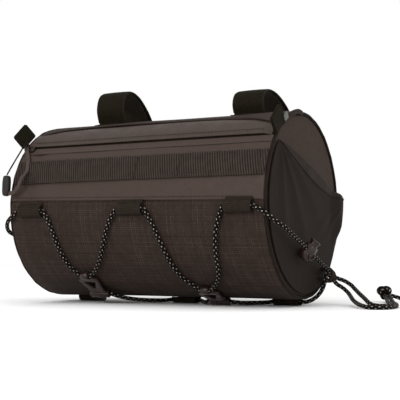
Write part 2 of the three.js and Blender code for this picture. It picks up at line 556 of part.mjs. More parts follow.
// ---- straps for the handlebar ----
// Each strap's line in the plane across the bag, from its front foot over the bar to its back foot.
const STRAP_LINES = {
  left: [[4.5, 71.8], [0.8, 84], [4.2, 94.5], [12, 98.6], [24, 97], [38, 88.5], [49, 76], [58, 60], [64.5, 45], [66.4, 33.4]],
  right: [[4.5, 71.8], [1.8, 80], [4.6, 87], [12, 90.6], [24, 91], [40, 87], [54, 79], [64, 66], [68.8, 50], [66.8, 33.4]],
};
const STRAP_THICKNESS = 2;
const STRAP_STATION = 63;
function band(line, thickness, pieces) {
  const points = line.map(([u, v]) => new THREE.Vector3(u, v, 0));
  const curve = new THREE.CatmullRomCurve3(points, false, "centripetal");
  const outer = [];
  const inner = [];
  for (let i = 0; i <= pieces; i++) {
    const point = curve.getPointAt(i / pieces);
    const tangent = curve.getTangentAt(i / pieces);
    const across = new THREE.Vector2(-tangent.y, tangent.x).multiplyScalar(thickness / 2);
    outer.push(new THREE.Vector2(point.x + across.x, point.y + across.y));
    inner.unshift(new THREE.Vector2(point.x - across.x, point.y - across.y));
  }
  return new THREE.Shape([...outer, ...inner]);
}
for (const [side, sign] of [["left", -1], ["right", 1]]) {
  const x0 = sign * STRAP_STATION - STRAP_WIDTH / 2;
  const axes = [new THREE.Vector3(0, 1, 0), new THREE.Vector3(0, 0, 1), along];
  const loop = band(STRAP_LINES[side], STRAP_THICKNESS, 26);
  add(`strap_${side}`, extruded(loop, STRAP_WIDTH, axes, fromAxis(x0, 0, 0)), WEB);
  const wide = [x0 - 1.5, x0 + STRAP_WIDTH + 1.5];
  add(`strap_patch_${side}`, strip(88, 100, GAP, 1.2, ...wide), WEB);
  add(`strap_anchor_${side}`, strip(143, 163, GAP, 1.5, ...wide), WEB);
}

export default part;
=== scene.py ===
"""The looks of a cylindrical handlebar bag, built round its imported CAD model.

Lengths are in millimetres until a mesh is made. Points are given from the bag's own axis:
x along the bag, y to the back, w up. An angle goes round the bag: 0 front, 90 top, 180 back.
"""

import math

import bpy
import numpy as np
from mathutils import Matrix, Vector


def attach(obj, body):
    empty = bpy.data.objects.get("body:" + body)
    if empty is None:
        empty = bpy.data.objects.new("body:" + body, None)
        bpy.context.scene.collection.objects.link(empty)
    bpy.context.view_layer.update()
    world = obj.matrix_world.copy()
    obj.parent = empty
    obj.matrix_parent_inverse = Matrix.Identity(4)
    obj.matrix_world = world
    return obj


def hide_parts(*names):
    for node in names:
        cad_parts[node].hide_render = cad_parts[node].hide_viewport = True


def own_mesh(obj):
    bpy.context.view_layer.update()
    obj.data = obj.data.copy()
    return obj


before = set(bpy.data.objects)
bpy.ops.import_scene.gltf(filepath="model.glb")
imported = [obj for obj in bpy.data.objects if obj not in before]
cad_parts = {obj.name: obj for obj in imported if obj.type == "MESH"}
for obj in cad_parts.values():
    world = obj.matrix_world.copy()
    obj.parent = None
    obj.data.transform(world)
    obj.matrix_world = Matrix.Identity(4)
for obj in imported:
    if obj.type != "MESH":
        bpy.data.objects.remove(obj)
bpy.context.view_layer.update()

MM = 0.001
RADIUS = 70.0
HALF = 111.0  # half the bag's length
PANEL_HALF = 108.0
LID_HALF = 96.0
AXIS = np.array([-2.9, 3.1, 75.2])  # the bag's axis in the row frame
CORD_DIAMETER = 3.0
PER_DEGREE = 1.22  # millimetres round the bag for one degree

LOWER_SEAM = -114.8
ZIP_ANGLE = 42.6
LID_HINGE = 85.2
STRAP_X = 63.0
SIDES = (("left", -1), ("right", 1))


# ---------------------------------------------------------------- places on the bag
def from_axis(x, y, w):
    return np.array([x, y, w], float) + AXIS


def outward(angle):
    a = math.radians(angle)
    return np.array([0.0, -math.cos(a), math.sin(a)])


def upward(angle):
    a = math.radians(angle)
    return np.array([0.0, math.sin(a), math.cos(a)])


def on_bag(x, angle, off=0.0):
    return from_axis(x, 0, 0) + outward(angle) * (RADIUS + off)


def cylinder_points(x, angle, radius):
    """Points in the row frame from arrays of stations, angles and radii."""
    a = np.radians(angle)
    return np.stack([x + AXIS[0], -np.cos(a) * radius + AXIS[1], np.sin(a) * radius + AXIS[2]], -1)


def unit(v):
    return np.asarray(v, float) / np.linalg.norm(v)


def lengths_along(line):
    """The length of a line up to each of its points."""
    return np.concatenate([[0], np.cumsum(np.linalg.norm(np.diff(line, axis=0), axis=1))])


def directions(line):
    """The unit direction of a line at each of its points."""
    tangents = np.gradient(line, axis=0)
    return tangents / np.linalg.norm(tangents, axis=1)[:, None]


def waves(a, b, seed, count=7):
    """A smooth irregular field of about -1 to 1 over two arrays."""
    rng = np.random.default_rng(seed)
    total = 0.0
    for _ in range(count):
        turn, rate, phase = rng.uniform(0, math.tau), rng.uniform(0.5, 1.7), rng.uniform(0, math.tau)
        total = total + np.sin((a * math.cos(turn) + b * math.sin(turn)) * rate + phase)
    return total / 3


def smooth_step(t):
    t = np.clip(t, 0, 1)
    return t * t * (3 - 2 * t)


# ---------------------------------------------------------------- meshes
def turned_out(vertices, faces, weave):
    """The faces and their weave, reversed if the mesh is inside out."""
    triangles = np.array([(face[0], b, c) for face in faces for b, c in zip(face[1:], face[2:])])
    first, second, third = (vertices[triangles[:, k]] - vertices[0] for k in range(3))
    if np.einsum("ij,ij->", first, np.cross(second, third)) >= 0:
        return faces, weave
    turned, start = [], 0
    for face in faces:
        end = start + len(face)
        if weave is not None:
            turned.extend([tuple(w) for w in weave[start:end]][::-1])
        start = end
    return [face[::-1] for face in faces], turned if weave is not None else None


def piece(name, made, material, replaces=(), body="bag", sharp=35):
    """One visible piece, made of vertices, faces and a weave.

    The weave is a point for each corner of each face, in millimetres on the cloth.
    """
    vertices, faces, weave = made
    vertices = np.asarray(vertices, float)
    faces, weave = turned_out(vertices, faces, weave)
    mesh = bpy.data.meshes.new(name)
    mesh.from_pydata((vertices * MM).tolist(), [], faces)
    if weave is not None:
        layer = mesh.uv_layers.new(name="weave")
        layer.data.foreach_set("uv", np.asarray(weave, np.float32).ravel())
    mesh.polygons.foreach_set("use_smooth", [True] * len(mesh.polygons))
    mesh.set_sharp_from_angle(angle=math.radians(sharp))
    mesh.materials.append(material)
    obj = bpy.data.objects.new(name, mesh)
    bpy.context.scene.collection.objects.link(obj)
    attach(obj, body)
    if replaces:
        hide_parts(*replaces)
    return obj


def grid_faces(rows, columns, start=0, flip=False, closed=False):
    """Quads over a grid of points, row by row, and the grid place of each corner."""
    faces, corners = [], []
    for i in range(rows - 1):
        for j in range(columns if closed else columns - 1):
            quad = [(i, j), (i + 1, j), (i + 1, j + 1), (i, j + 1)]
            if flip:
                quad.reverse()
            faces.append([start + a * columns + b % columns for a, b in quad])
            corners.extend(quad)
    return faces, corners


def sheet_mesh(outer, inner, us, vs):
    """A closed sheet from two grids of points. Us and vs are its rows' and columns' places on the cloth."""
    rows, columns = outer.shape[:2]
    inside = rows * columns
    faces, corners = grid_faces(rows, columns)
    more, more_corners = grid_faces(rows, columns, inside, flip=True)
    faces += more
    corners += more_corners

    def side(first, second):
        a, b = (i * columns + j for i, j in (first, second))
        faces.append([b, a, inside + a, inside + b])
        corners.extend([second, first, first, second])

    for i in range(rows - 1):
        side((i, 0), (i + 1, 0))
        side((i + 1, columns - 1), (i, columns - 1))
    for j in range(columns - 1):
        side((0, j + 1), (0, j))
        side((rows - 1, j), (rows - 1, j + 1))
    vertices = np.concatenate([outer.reshape(-1, 3), inner.reshape(-1, 3)])
    weave = [(us[i], vs[j]) for i, j in corners]
    return vertices, faces, weave


def marks(start, end, step):
    """Places from start to end, close together at both ends so that an edge can be rounded."""
    near = [0.0, 0.15, 0.4, 0.8, 1.4]
    count = max(2, round((end - start - 2 * near[-1]) / step) + 1)
    middle = np.linspace(start + near[-1], end - near[-1], count)
    return np.concatenate([start + np.array(near[:-1]), middle, end - np.array(near[:-1])[::-1]])


def edge_drop(distance, radius):
    """How far a rounded edge falls away at a distance from its rim."""
    t = np.clip(1 - distance / radius, 0, 1)
    return radius * (1 - np.sqrt(1 - t * t))


def cloth_strip(name, ends, low, high, relief, thickness, material, replaces=(), body="bag", step=2.0):
    """A curved strip of cloth on the bag, between two angles that may change along the bag."""
    xs = marks(*ends, step)
    low_line = np.broadcast_to(low(xs) if callable(low) else low, xs.shape)
    high_line = np.broadcast_to(high(xs) if callable(high) else high, xs.shape)
    width = math.radians(float(np.mean(high_line - low_line))) * RADIUS
    vs = marks(0, width, step)
    x = np.repeat(xs[:, None], len(vs), 1)
    angle = low_line[:, None] + (high_line - low_line)[:, None] * vs / width
    rim = np.minimum(np.minimum(x - ends[0], ends[1] - x), np.minimum(vs, width - vs))
    roll = edge_drop(rim, thickness * 0.48)
    height = RADIUS + relief(x, angle)
    outer = cylinder_points(x, angle, height - roll)
    inner = cylinder_points(x, angle, height - thickness + roll)
    return piece(name, sheet_mesh(outer, inner, xs, vs), material, replaces, body)


def ribbon(name, line, width, thickness, material, body, replaces=(), shape=None):
    """A bowed band of webbing along a line, wide along the bag; shape widens it along its length."""
    side, bow, step = np.array([1.0, 0, 0]), -0.3, 1.6
    normals = np.cross(directions(line), side)
    lengths = lengths_along(line)
    vs = marks(-width / 2, width / 2, step)
    crown = bow * (1 - (2 * vs / width) ** 2)
    roll = edge_drop(width / 2 - np.abs(vs), thickness * 0.48)
    spread = np.ones(len(line)) if shape is None else shape(lengths / lengths[-1])
    places = line[:, None] + side * (vs[None, :, None] * spread[:, None, None])
    outer = places + normals[:, None] * (crown + thickness / 2 - roll)[None, :, None]
    inner = places + normals[:, None] * (crown - thickness / 2 + roll)[None, :, None]
    return piece(name, sheet_mesh(outer, inner, lengths, vs), material, replaces, body)


def plate_mesh(outlines, depth, round_by, origin, right, up):
    """A flat plate with rounded edges from an outline and its holes, each a list of (across, up)."""
    curve = bpy.data.curves.new("plate", "CURVE")
    curve.dimensions = "2D"
    curve.fill_mode = "BOTH"
    curve.extrude = max(depth / 2 - round_by, 0.01)
    curve.bevel_depth = round_by
    curve.bevel_resolution = 2
    curve.offset = -round_by
    for outline in outlines:
        spline = curve.splines.new("POLY")
        spline.points.add(len(outline) - 1)
        spline.points.foreach_set("co", [v for u, w in outline for v in (u, w, 0.0, 1.0)])
        spline.use_cyclic_u = True
    holder = bpy.data.objects.new("plate", curve)
    made = holder.to_mesh()
    local = np.empty(len(made.vertices) * 3)
    made.vertices.foreach_get("co", local)
    local = local.reshape(-1, 3)
    faces = [list(p.vertices) for p in made.polygons]
    holder.to_mesh_clear()
    bpy.data.objects.remove(holder)
    right, up = unit(right), unit(up)
    normal = np.cross(right, up)
    vertices = origin + local @ np.array([right, up, normal])
    weave = [(local[i, 0], local[i, 1]) for face in faces for i in face]
    return vertices, faces, weave


def rounded(outline, radius, steps=4):
    """An outline with its corners rounded."""
    points = [np.asarray(p, float) for p in outline]
    made = []
    for i, p in enumerate(points):
        before, after = points[i - 1] - p, points[(i + 1) % len(points)] - p
        reach = min(radius, np.linalg.norm(before) * 0.45, np.linalg.norm(after) * 0.45)
        a, b = p + unit(before) * reach, p + unit(after) * reach
        for k in range(steps + 1):
            t = k / steps
            made.append(tuple((1 - t) ** 2 * a + 2 * t * (1 - t) * p + t * t * b))
    return made


def curve_through(points, step):
    """A smooth line through the points, sampled evenly."""
    p = np.asarray(points, float)
    p = np.vstack([2 * p[0] - p[1], p, 2 * p[-1] - p[-2]])
    line = []
    for i in range(1, len(p) - 2):
        knots = [0.0]
        for a, b in ((i - 1, i), (i, i + 1), (i + 1, i + 2)):
            knots.append(knots[-1] + max(np.linalg.norm(p[b] - p[a]), 1e-6) ** 0.5)
        t0, t1, t2, t3 = knots
        for t in np.linspace(t1, t2, 14, endpoint=False):
            a1 = p[i - 1] + (p[i] - p[i - 1]) * (t - t0) / (t1 - t0)
            a2 = p[i] + (p[i + 1] - p[i]) * (t - t1) / (t2 - t1)
            a3 = p[i + 1] + (p[i + 2] - p[i + 1]) * (t - t2) / (t3 - t2)
            b1 = a1 + (a2 - a1) * (t - t0) / (t2 - t0)
            b2 = a2 + (a3 - a2) * (t - t1) / (t3 - t1)
            line.append(b1 + (b2 - b1) * (t - t1) / (t2 - t1))
    line.append(p[-2])
    line = np.array(line)
    lengths = lengths_along(line)
    count = max(2, round(lengths[-1] / step) + 1)
    even = np.linspace(0, lengths[-1], count)
    return np.stack([np.interp(even, lengths, line[:, k]) for k in range(3)], 1)


def carried_frames(line, first=None):
    """A normal and a side for each point of a line, turning as little as possible."""
    tangents = directions(line)
    normal = np.array([0.3, 0.2, 1.0]) if first is None else np.asarray(first, float)
    normals = []
    for t in tangents:
        normal = unit(normal - t * normal.dot(t))
        normals.append(normal)
    normals = np.array(normals)
    return tangents, normals, np.cross(tangents, normals)


def tube_mesh(line, radius, sides=12, first=None, flat=1.0):
    """A cord with domed ends, thinner by flat along its normal. Its weave is (share of a turn, length)."""
    tangents, normals, across = carried_frames(line, first)
    lengths = lengths_along(line)
    radii = np.broadcast_to(np.asarray(radius, float), (len(line),))
    turns = np.linspace(0, math.tau, sides, endpoint=False)
    last = len(line) - 1
    # each ring: its point of the line, how far past it and its share of the radius
    places = [(0, -0.48, 0.6), (0, -0.27, 0.9)]
    places += [(k, 0.0, 1.0) for k in range(len(line))]
    places += [(last, 0.27, 0.9), (last, 0.48, 0.6)]
    rings = []
    for k, past, share in places:
        spokes = np.outer(np.cos(turns), normals[k]) * flat + np.outer(np.sin(turns), across[k])
        rings.append(line[k] + tangents[k] * radii[k] * past + spokes * radii[k] * share)
    along = [lengths[k] for k, _, _ in places]
    faces, corners = grid_faces(len(rings), sides, closed=True, flip=True)
    weave = [(j / sides, along[i]) for i, j in corners]
    for i, order in ((0, 1), (len(rings) - 1, -1)):
        faces.append([i * sides + j for j in range(sides)][::order])
        weave.extend([(0.0, along[i])] * sides)
    return np.concatenate(rings), faces, weave


def joined(parts):
    """Several meshes as one."""
    vertices, faces, weave, start = [], [], [], 0
    for v, f, w in parts:
        vertices.append(np.asarray(v, float))
        faces.extend([[i + start for i in face] for face in f])
        weave.extend(list(w) if w is not None else [(0.0, 0.0)] * sum(len(face) for face in f))
        start += len(v)
    return np.concatenate(vertices), faces, weave


def stitch_mesh(line, normal_at, pitch=3.1, length=2.1, thickness=0.5):
    """A row of thread stitches lying on a surface along a line."""
    lengths = lengths_along(line)
    parts = []
    for k in range(int((lengths[-1] - length) / pitch)):
        ends = [k * pitch, k * pitch + length / 2, k * pitch + length]
        points = np.stack([np.interp(ends, lengths, line[:, c]) for c in range(3)], 1)
        n = normal_at(points[1])
        points = points + n * np.array([-0.1, 0.18, -0.1])[:, None]
        parts.append(tube_mesh(points, thickness / 2, 6, n))
    return joined(parts)


def lathe_mesh(profile, axis, centre, segments=32):
    """A turned piece from (radius, station) pairs that start and end on the axis."""
    axis = unit(axis)
    first = unit(np.cross(axis, [0.2, 0.1, 1.0]))
    second = np.cross(axis, first)
    turns = np.linspace(0, math.tau, segments, endpoint=False)
    spokes = np.outer(np.cos(turns), first) + np.outer(np.sin(turns), second)
    inner = [p for p in profile if p[0] > 1e-6]
    vertices = [centre + axis * s + spokes * r for r, s in inner]
    faces, corners = grid_faces(len(inner), segments, closed=True, flip=True)
    vertices = np.concatenate(vertices)
    weave = [(j / segments, inner[i][1]) for i, j in corners]
    for pole, row, order in ((profile[0], 0, 1), (profile[-1], len(inner) - 1, -1)):
        if pole[0] > 1e-6:
            continue
        top = len(vertices)
        vertices = np.vstack([vertices, centre + axis * pole[1]])
        for j in range(segments):
            a, b = row * segments + j, row * segments + (j + 1) % segments
            faces.append([top, a, b][::order])
            weave.extend([(0.0, pole[1])] * 3)
    if profile[0][0] > 1e-6:
        last = len(inner) - 1
        for j in range(segments):
            k = (j + 1) % segments
            faces.append([last * segments + j, last * segments + k, k, j][::-1])
            weave.extend([(0.0, 0.0)] * 4)
    return vertices, faces, weave


# ---------------------------------------------------------------- materials
class Nodes:
    """A short way to write a material's nodes."""

    def __init__(self, name):
        self.material = bpy.data.materials.new(name)
        self.material.use_nodes = True
        self.tree = self.material.node_tree
        self.shader = self.tree.nodes["Principled BSDF"]

    def node(self, kind, **settings):
        made = self.tree.nodes.new(kind)
        for key, value in settings.items():
            setattr(made, key, value)
        return made

    def link(self, source, target):
        self.tree.links.new(source, target)

    def feed(self, target, value):
        if isinstance(value, (int, float)):
            target.default_value = value
        else:
            self.link(value, target)

    def math(self, operation, a, b=0.0, c=0.0):
        made = self.node("ShaderNodeMath", operation=operation)
        for socket, value in zip(made.inputs, (a, b, c)):
            self.feed(socket, value)
        return made.outputs[0]

    def times(self, a, b):
        return self.math("MULTIPLY", a, b)

    def noise(self, scale, detail=3.0):
        made = self.node("ShaderNodeTexNoise")
        made.inputs["Scale"].default_value = scale
        made.inputs["Detail"].default_value = detail
        made.inputs["Roughness"].default_value = 0.55
        place = self.node("ShaderNodeTexCoord")
        self.link(place.outputs["Object"], made.inputs["Vector"])
        return made.outputs["Fac"]

    def streaks(self, value, size):
        """A noise that changes along one coordinate only, from about 0 to 1."""
        made = self.node("ShaderNodeTexNoise", noise_dimensions="1D")
        made.inputs["Scale"].default_value = 1 / size
        made.inputs["Detail"].default_value = 1.0
        self.link(value, made.inputs["W"])
        return self.ramp(made.outputs["Fac"], (0.36, 0.0), (0.64, 1.0))

    def weave(self):
        """The cloth's own two coordinates, in millimetres."""
        place = self.node("ShaderNodeUVMap", uv_map="weave")
        split = self.node("ShaderNodeSeparateXYZ")
        self.link(place.outputs["UV"], split.inputs["Vector"])
        return split.outputs["X"], split.outputs["Y"]

    def wave(self, value, pitch, phase=0.0):
        """A sine of a coordinate, from 0 to 1."""
        turn = self.math("MULTIPLY_ADD", value, math.tau / pitch, phase)
        return self.math("MULTIPLY_ADD", self.math("SINE", turn), 0.5, 0.5)

    def ramp(self, value, *stops):
        made = self.node("ShaderNodeValToRGB")
        elements = made.color_ramp.elements
        while len(elements) < len(stops):
            elements.new(0.5)
        for element, (position, level) in zip(elements, stops):
            element.position = position
            element.color = (level, level, level, 1)
        self.link(value, made.inputs["Fac"])
        return made.outputs["Color"]

    def mix(self, factor, dark, light):
        made = self.node("ShaderNodeMix", data_type="RGBA")
        self.feed(made.inputs["Factor"], factor)
        made.inputs["A"].default_value = (*dark, 1)
        if isinstance(light, tuple):
            made.inputs["B"].default_value = (*light, 1)
        else:
            self.link(light, made.inputs["B"])
        return made.outputs["Result"]

    def scaled(self, color, level):
        """A colour made lighter or darker by a value."""
        made = self.node("ShaderNodeMix", data_type="RGBA", blend_type="MULTIPLY")
        made.inputs["Factor"].default_value = 1.0
        self.link(color, made.inputs["A"])
        self.link(level, made.inputs["B"])
        return made.outputs["Result"]

    def finish(self, color, roughness, bump=None, strength=0.5, distance=0.2, metallic=0.0, specular=0.5):
        self.link(color, self.shader.inputs["Base Color"])
        self.feed(self.shader.inputs["Roughness"], roughness)
        self.shader.inputs["Metallic"].default_value = metallic
        self.shader.inputs["Specular IOR Level"].default_value = specular
        if bump is not None:
            made = self.node("ShaderNodeBump")
            made.inputs["Strength"].default_value = strength
            made.inputs["Distance"].default_value = distance * MM
            self.link(bump, made.inputs["Height"])
            self.link(made.outputs["Normal"], self.shader.inputs["Normal"])
        return self.material


def srgb(red, green, blue):
    return tuple(((v / 255) ** 2.2) for v in (red, green, blue))


def ripstop_material(name, base, line, pitch=2.6):
    """Fine plain weave crossed by a grid of thicker threads."""
    n = Nodes(name)
    u, v = n.weave()
    threads = n.times(n.wave(u, 0.55), n.wave(v, 0.5))
    bars_u = n.ramp(n.wave(u, pitch * 0.7), (0.72, 0.0), (0.97, 1.0))
    bars_v = n.ramp(n.wave(v, pitch * 0.62), (0.72, 0.0), (0.97, 1.0))
    grid = n.math("MAXIMUM", n.times(bars_u, n.streaks(u, 2.3)), n.times(bars_v, n.streaks(v, 2.1)))
    level = n.ramp(n.noise(260, 4.0), (0.3, 0.82), (0.75, 1.12))
    fine = n.ramp(n.noise(900), (0.35, 0.2), (0.7, 1.0))
    broad = n.ramp(n.noise(60), (0.35, 0.2), (0.65, 0.95))
    cloth = n.mix(n.times(grid, n.times(fine, broad)), base, line)
    height = n.math("MULTIPLY_ADD", grid, 0.8, n.times(threads, 0.35))
    return n.finish(n.scaled(cloth, level), 0.8, height, 0.45, 0.18, specular=0.12)


def coated_material(name, base, roughness=0.5, specular=0.12):
    """Tightly woven cloth with a satin coating."""
    n = Nodes(name)
    u, v = n.weave()
    threads = n.times(n.wave(u, 0.42), n.wave(v, 0.42))
    soft = n.noise(35, 3.0)
    level = n.ramp(n.noise(420, 5.0), (0.3, 0.9), (0.75, 1.08))
    height = n.math("MULTIPLY_ADD", soft, 2.2, n.times(threads, 0.25))
    rough = n.ramp(n.noise(120, 2.0), (0.3, roughness - 0.06), (0.75, roughness + 0.08))
    lighter = tuple(c * 1.15 for c in base)
    return n.finish(n.scaled(n.mix(soft, base, lighter), level), rough, height, 0.3, 0.2, specular=specular)


def webbing_material(name, base, light, pitch=1.15):
    """Ribbed webbing: the ribs run across v."""
    n = Nodes(name)
    u, v = n.weave()
    rib = n.wave(v, pitch)
    thread = n.wave(u, 0.9)
    fleck = n.ramp(n.noise(1500, 2.0), (0.4, 0.0), (0.7, 1.0))
    height = n.math("MULTIPLY_ADD", rib, 0.8, n.times(thread, 0.3))
    color = n.mix(n.times(rib, n.math("MULTIPLY_ADD", fleck, 0.5, 0.3)), base, light)
    level = n.ramp(n.noise(300, 3.0), (0.3, 0.85), (0.75, 1.1))
    return n.finish(n.scaled(color, level), 0.7, height, 0.5, 0.25, specular=0.03)


def rib_material(name, base, light, pitch, lean):
    """Tape with ribs across it that lean a little; u runs along the tape and v across it."""
    n = Nodes(name)
    u, v = n.weave()
    rib = n.wave(n.math("MULTIPLY_ADD", v, lean, u), pitch)
    thread = n.wave(v, 0.8)
    level = n.ramp(n.noise(160, 3.0), (0.3, 0.75), (0.75, 1.15))
    ridge = n.ramp(rib, (0.1, 0.0), (1.0, 1.0))
    color = n.mix(n.times(ridge, n.math("MULTIPLY_ADD", thread, 0.4, 0.6)), base, light)
    height = n.math("MULTIPLY_ADD", rib, 0.6, n.times(thread, 0.3))
    return n.finish(n.scaled(color, level), 0.75, height, 0.5, 0.2, specular=0.12)


def cord_material(name, base, fleck_color):
    """A braided cover with light tracer threads. U is a share of a turn and V is millimetres."""
    n = Nodes(name)
    u, v = n.weave()
    pitch, starts = 4.6, 3.0
    one = n.math("ADD", n.times(u, starts), n.math("DIVIDE", v, pitch))
    other = n.math("SUBTRACT", n.math("DIVIDE", v, pitch), n.times(u, starts))
    strands = n.times(n.wave(n.times(one, 2.0), 1.0), n.wave(n.times(other, 2.0), 1.0))
    left = n.math("LESS_THAN", n.math("FRACT", one), 0.28)
    right = n.math("LESS_THAN", n.math("FRACT", other), 0.34)
    tracer = n.times(left, right)
    fine = n.noise(2200, 1.0)
    color = n.mix(n.times(tracer, n.ramp(fine, (0.3, 0.55), (0.7, 1.0))), base, fleck_color)
    return n.finish(color, 0.8, strands, 0.5, 0.3, specular=0.1)


def moulded_material(name, base, roughness=0.36):
    n = Nodes(name)
    level = n.ramp(n.noise(300, 3.0), (0.3, 0.8), (0.75, 1.15))
    grain = n.noise(2600, 2.0)
    rough = n.ramp(n.noise(500, 3.0), (0.3, roughness - 0.06), (0.75, roughness + 0.1))
    lighter = tuple(c * 1.3 for c in base)
    return n.finish(n.scaled(n.mix(grain, base, lighter), level), rough, grain, 0.15, 0.05, specular=0.3)


def metal_material(name, base):
    n = Nodes(name)
    worn = n.noise(700, 4.0)
    rough = n.ramp(worn, (0.3, 0.28), (0.7, 0.5))
    lighter = tuple(c * 1.35 for c in base)
    return n.finish(n.mix(worn, base, lighter), rough, worn, 0.1, 0.05, metallic=1.0)


def stretch_material(name, base, light):
    """A knitted stretch cloth: rows of small loops."""
    n = Nodes(name)
    u, v = n.weave()
    loops = n.times(n.wave(u, 0.9), n.wave(v, 0.7))
    level = n.ramp(n.noise(220, 4.0), (0.3, 0.88), (0.75, 1.1))
    return n.finish(n.scaled(n.mix(loops, base, light), level), 0.85, loops, 0.35, 0.15, specular=0.12)


RIB_PITCH = 1.96
RIB_LEAN = 0.26
RIPSTOP = ripstop_material("ripstop", srgb(45, 36, 32), srgb(85, 74, 66))
END_CLOTH = ripstop_material("end_cloth", srgb(56, 46, 41), srgb(66, 56, 50), 1.3)
COATED = coated_material("coated", srgb(60, 50, 45))
# The lid's top is the coated cloth in a darker colour: painted shade, because the top gets less light than
# the front.
TOP_CLOTH_PAINTED_SHADE = coated_material("coated_top_painted_shade", srgb(48, 40, 36), 0.65, 0.06)
WEBBING = webbing_material("webbing", srgb(36, 31, 27), srgb(57, 50, 44), 1.2)
TAPE = rib_material("ribbed_tape", srgb(32, 27, 24), srgb(66, 58, 52), RIB_PITCH, RIB_LEAN)
STRAP = webbing_material("strap_webbing", srgb(27, 24, 18), srgb(46, 42, 34), 1.5)
STRAP_LOOP = webbing_material("strap_loop_pile", srgb(48, 42, 36), srgb(74, 67, 58), 0.8)
# The strap's edge beads are real, but their lighter colour is a painted highlight along the strap edges.
SELVEDGE_HIGHLIGHT = webbing_material("selvedge_painted_highlight", srgb(34, 31, 26), srgb(58, 53, 46), 1.5)
ZIP_TAPE = webbing_material("zip_tape", srgb(34, 28, 25), srgb(50, 43, 39), 0.7)
STRETCH = stretch_material("stretch_knit", srgb(33, 27, 24), srgb(43, 36, 32))
HEM = coated_material("pocket_hem", srgb(40, 33, 29), 0.65, 0.08)
LINING = stretch_material("lining_knit", srgb(92, 92, 90), srgb(112, 112, 108))
PIPING = coated_material("piping_tape", srgb(33, 28, 24), 0.6, 0.05)
CORD = cord_material("cord_braid", srgb(15, 13, 11), srgb(160, 151, 140))
PULL_CORD = webbing_material("pull_cord", srgb(24, 20, 17), srgb(58, 49, 43), 1.1)
PULL_RIBBON = webbing_material("pull_ribbon", srgb(60, 51, 48), srgb(98, 88, 84), 1.1)
THREAD = coated_material("thread", srgb(50, 42, 38), 0.6)
PLASTIC = moulded_material("moulded_nylon", srgb(40, 29, 26), 0.28)
RUBBER = moulded_material("grip_rubber", srgb(28, 24, 21), 0.5)
METAL = metal_material("zip_metal", srgb(60, 55, 50))

# ---------------------------------------------------------------- camera and light
scene = bpy.context.scene
scene.view_settings.view_transform = "Standard"
camera_data = bpy.data.cameras.new("camera")
camera_data.lens = 90
camera_data.sensor_width = 36
camera = bpy.data.objects.new("camera", camera_data)
scene.collection.objects.link(camera)
camera.location = Vector(from_axis(392.789, -690.979, -37.784)) * MM
camera.rotation_euler = (math.radians(90 + 3.2086), 0, math.radians(28.224))
scene.camera = camera

floor_reach = 3.0
floor_mesh = bpy.data.meshes.new("floor")
floor_corners = [(x * floor_reach, y * floor_reach, 0) for x, y in ((-1, -1), (1, -1), (1, 1), (-1, 1))]
floor_mesh.from_pydata(floor_corners, [], [(0, 1, 2, 3)])
floor = bpy.data.objects.new("floor", floor_mesh)
scene.collection.objects.link(floor)
floor_nodes = Nodes("floor_paper")
paper = floor_nodes.noise(3.0, 2.0)
floor_nodes.finish(floor_nodes.mix(paper, (0.97, 0.97, 0.97), (1.0, 1.0, 1.0)), 1.0, specular=0.0)
floor_mesh.materials.append(floor_nodes.material)

world = bpy.data.worlds.new("studio")
world.use_nodes = True
sky = world.node_tree.nodes["Background"]
sky.inputs["Color"].default_value = (1, 1, 1, 1)
sky.inputs["Strength"].default_value = 1.0
scene.world = world


MIDDLE = (0.0, 0.0, 0.08)  # the lamps point here


def area_light(name, place, size, power):
    data = bpy.data.lights.new(name, "AREA")
    data.shape = "DISK"
    data.size = size
    data.energy = power
    light = bpy.data.objects.new(name, data)
    scene.collection.objects.link(light)
    light.location = place
    light.rotation_euler = (Vector(MIDDLE) - Vector(place)).to_track_quat("-Z", "Y").to_euler()


area_light("top_soft", (-0.2, -0.5, 1.2), 1.2, 1.2)
area_light("front_soft", (-0.2, -1.4, 0.55), 0.9, 8)
area_light("side_soft", (1.2, -0.5, 0.5), 0.7, 3)

# ---------------------------------------------------------------- the cords' routes
CORD_RADIUS = CORD_DIAMETER / 2
TAB_STATIONS = (-88.0, 2.5, 90.5)
TAB_HALF_WIDTH = 10.5
FRONT_TAB_ANGLE = -2.5
FRONT_TUNNEL = 3.2
LOWER_TAB_Y = 13.0
LOWER_TUNNEL = 2.7 - AXIS[2]
HOOK_EYE = 13.0
HOOK_OFF = 2.2
HOOKS = {"left": (-51.5, -56.5), "right": (46.5, -69.4)}
NOSE_REACH, FOOT_REACH = 4.0, 9.0
END_CORD_X = 119.5
RUN = np.array([0.0, 0.9367, -0.3503])
RUN_NORMAL = np.array([0.0, 0.3503, 0.9367])
CORD_PITCH = 1.8
MOUTH = 6.3
OFF = 2.4


def anchor_point(sign, run, up):
    return from_axis(sign * END_CORD_X, 28, -52) + RUN * run + RUN_NORMAL * up


def on_floor(x, y, z=CORD_RADIUS + 0.1):
    return np.array([x + AXIS[0], y + AXIS[1], z])


def on_cloth(*places):
    return [on_bag(x, angle, OFF) for x, angle in places]


def off_axis(*points):
    return [from_axis(*point) for point in points]


def over_floor(*points):
    return [on_floor(*point) for point in points]


def front_tab(i):
    reach = TAB_HALF_WIDTH + 0.8
    return [on_bag(TAB_STATIONS[i] + dx, FRONT_TAB_ANGLE, FRONT_TUNNEL) for dx in (reach, 0, -reach)]


def lower_tab(i):
    reach = TAB_HALF_WIDTH + 0.8
    return [from_axis(TAB_STATIONS[i] + dx, LOWER_TAB_Y, LOWER_TUNNEL) for dx in (-reach, 0, reach)]


def hook_eye(side, up, reach):
    x, angle = HOOKS[side]
    return [on_bag(x + dx, angle, HOOK_OFF) + upward(angle) * up for dx in (reach, 0, -reach)]

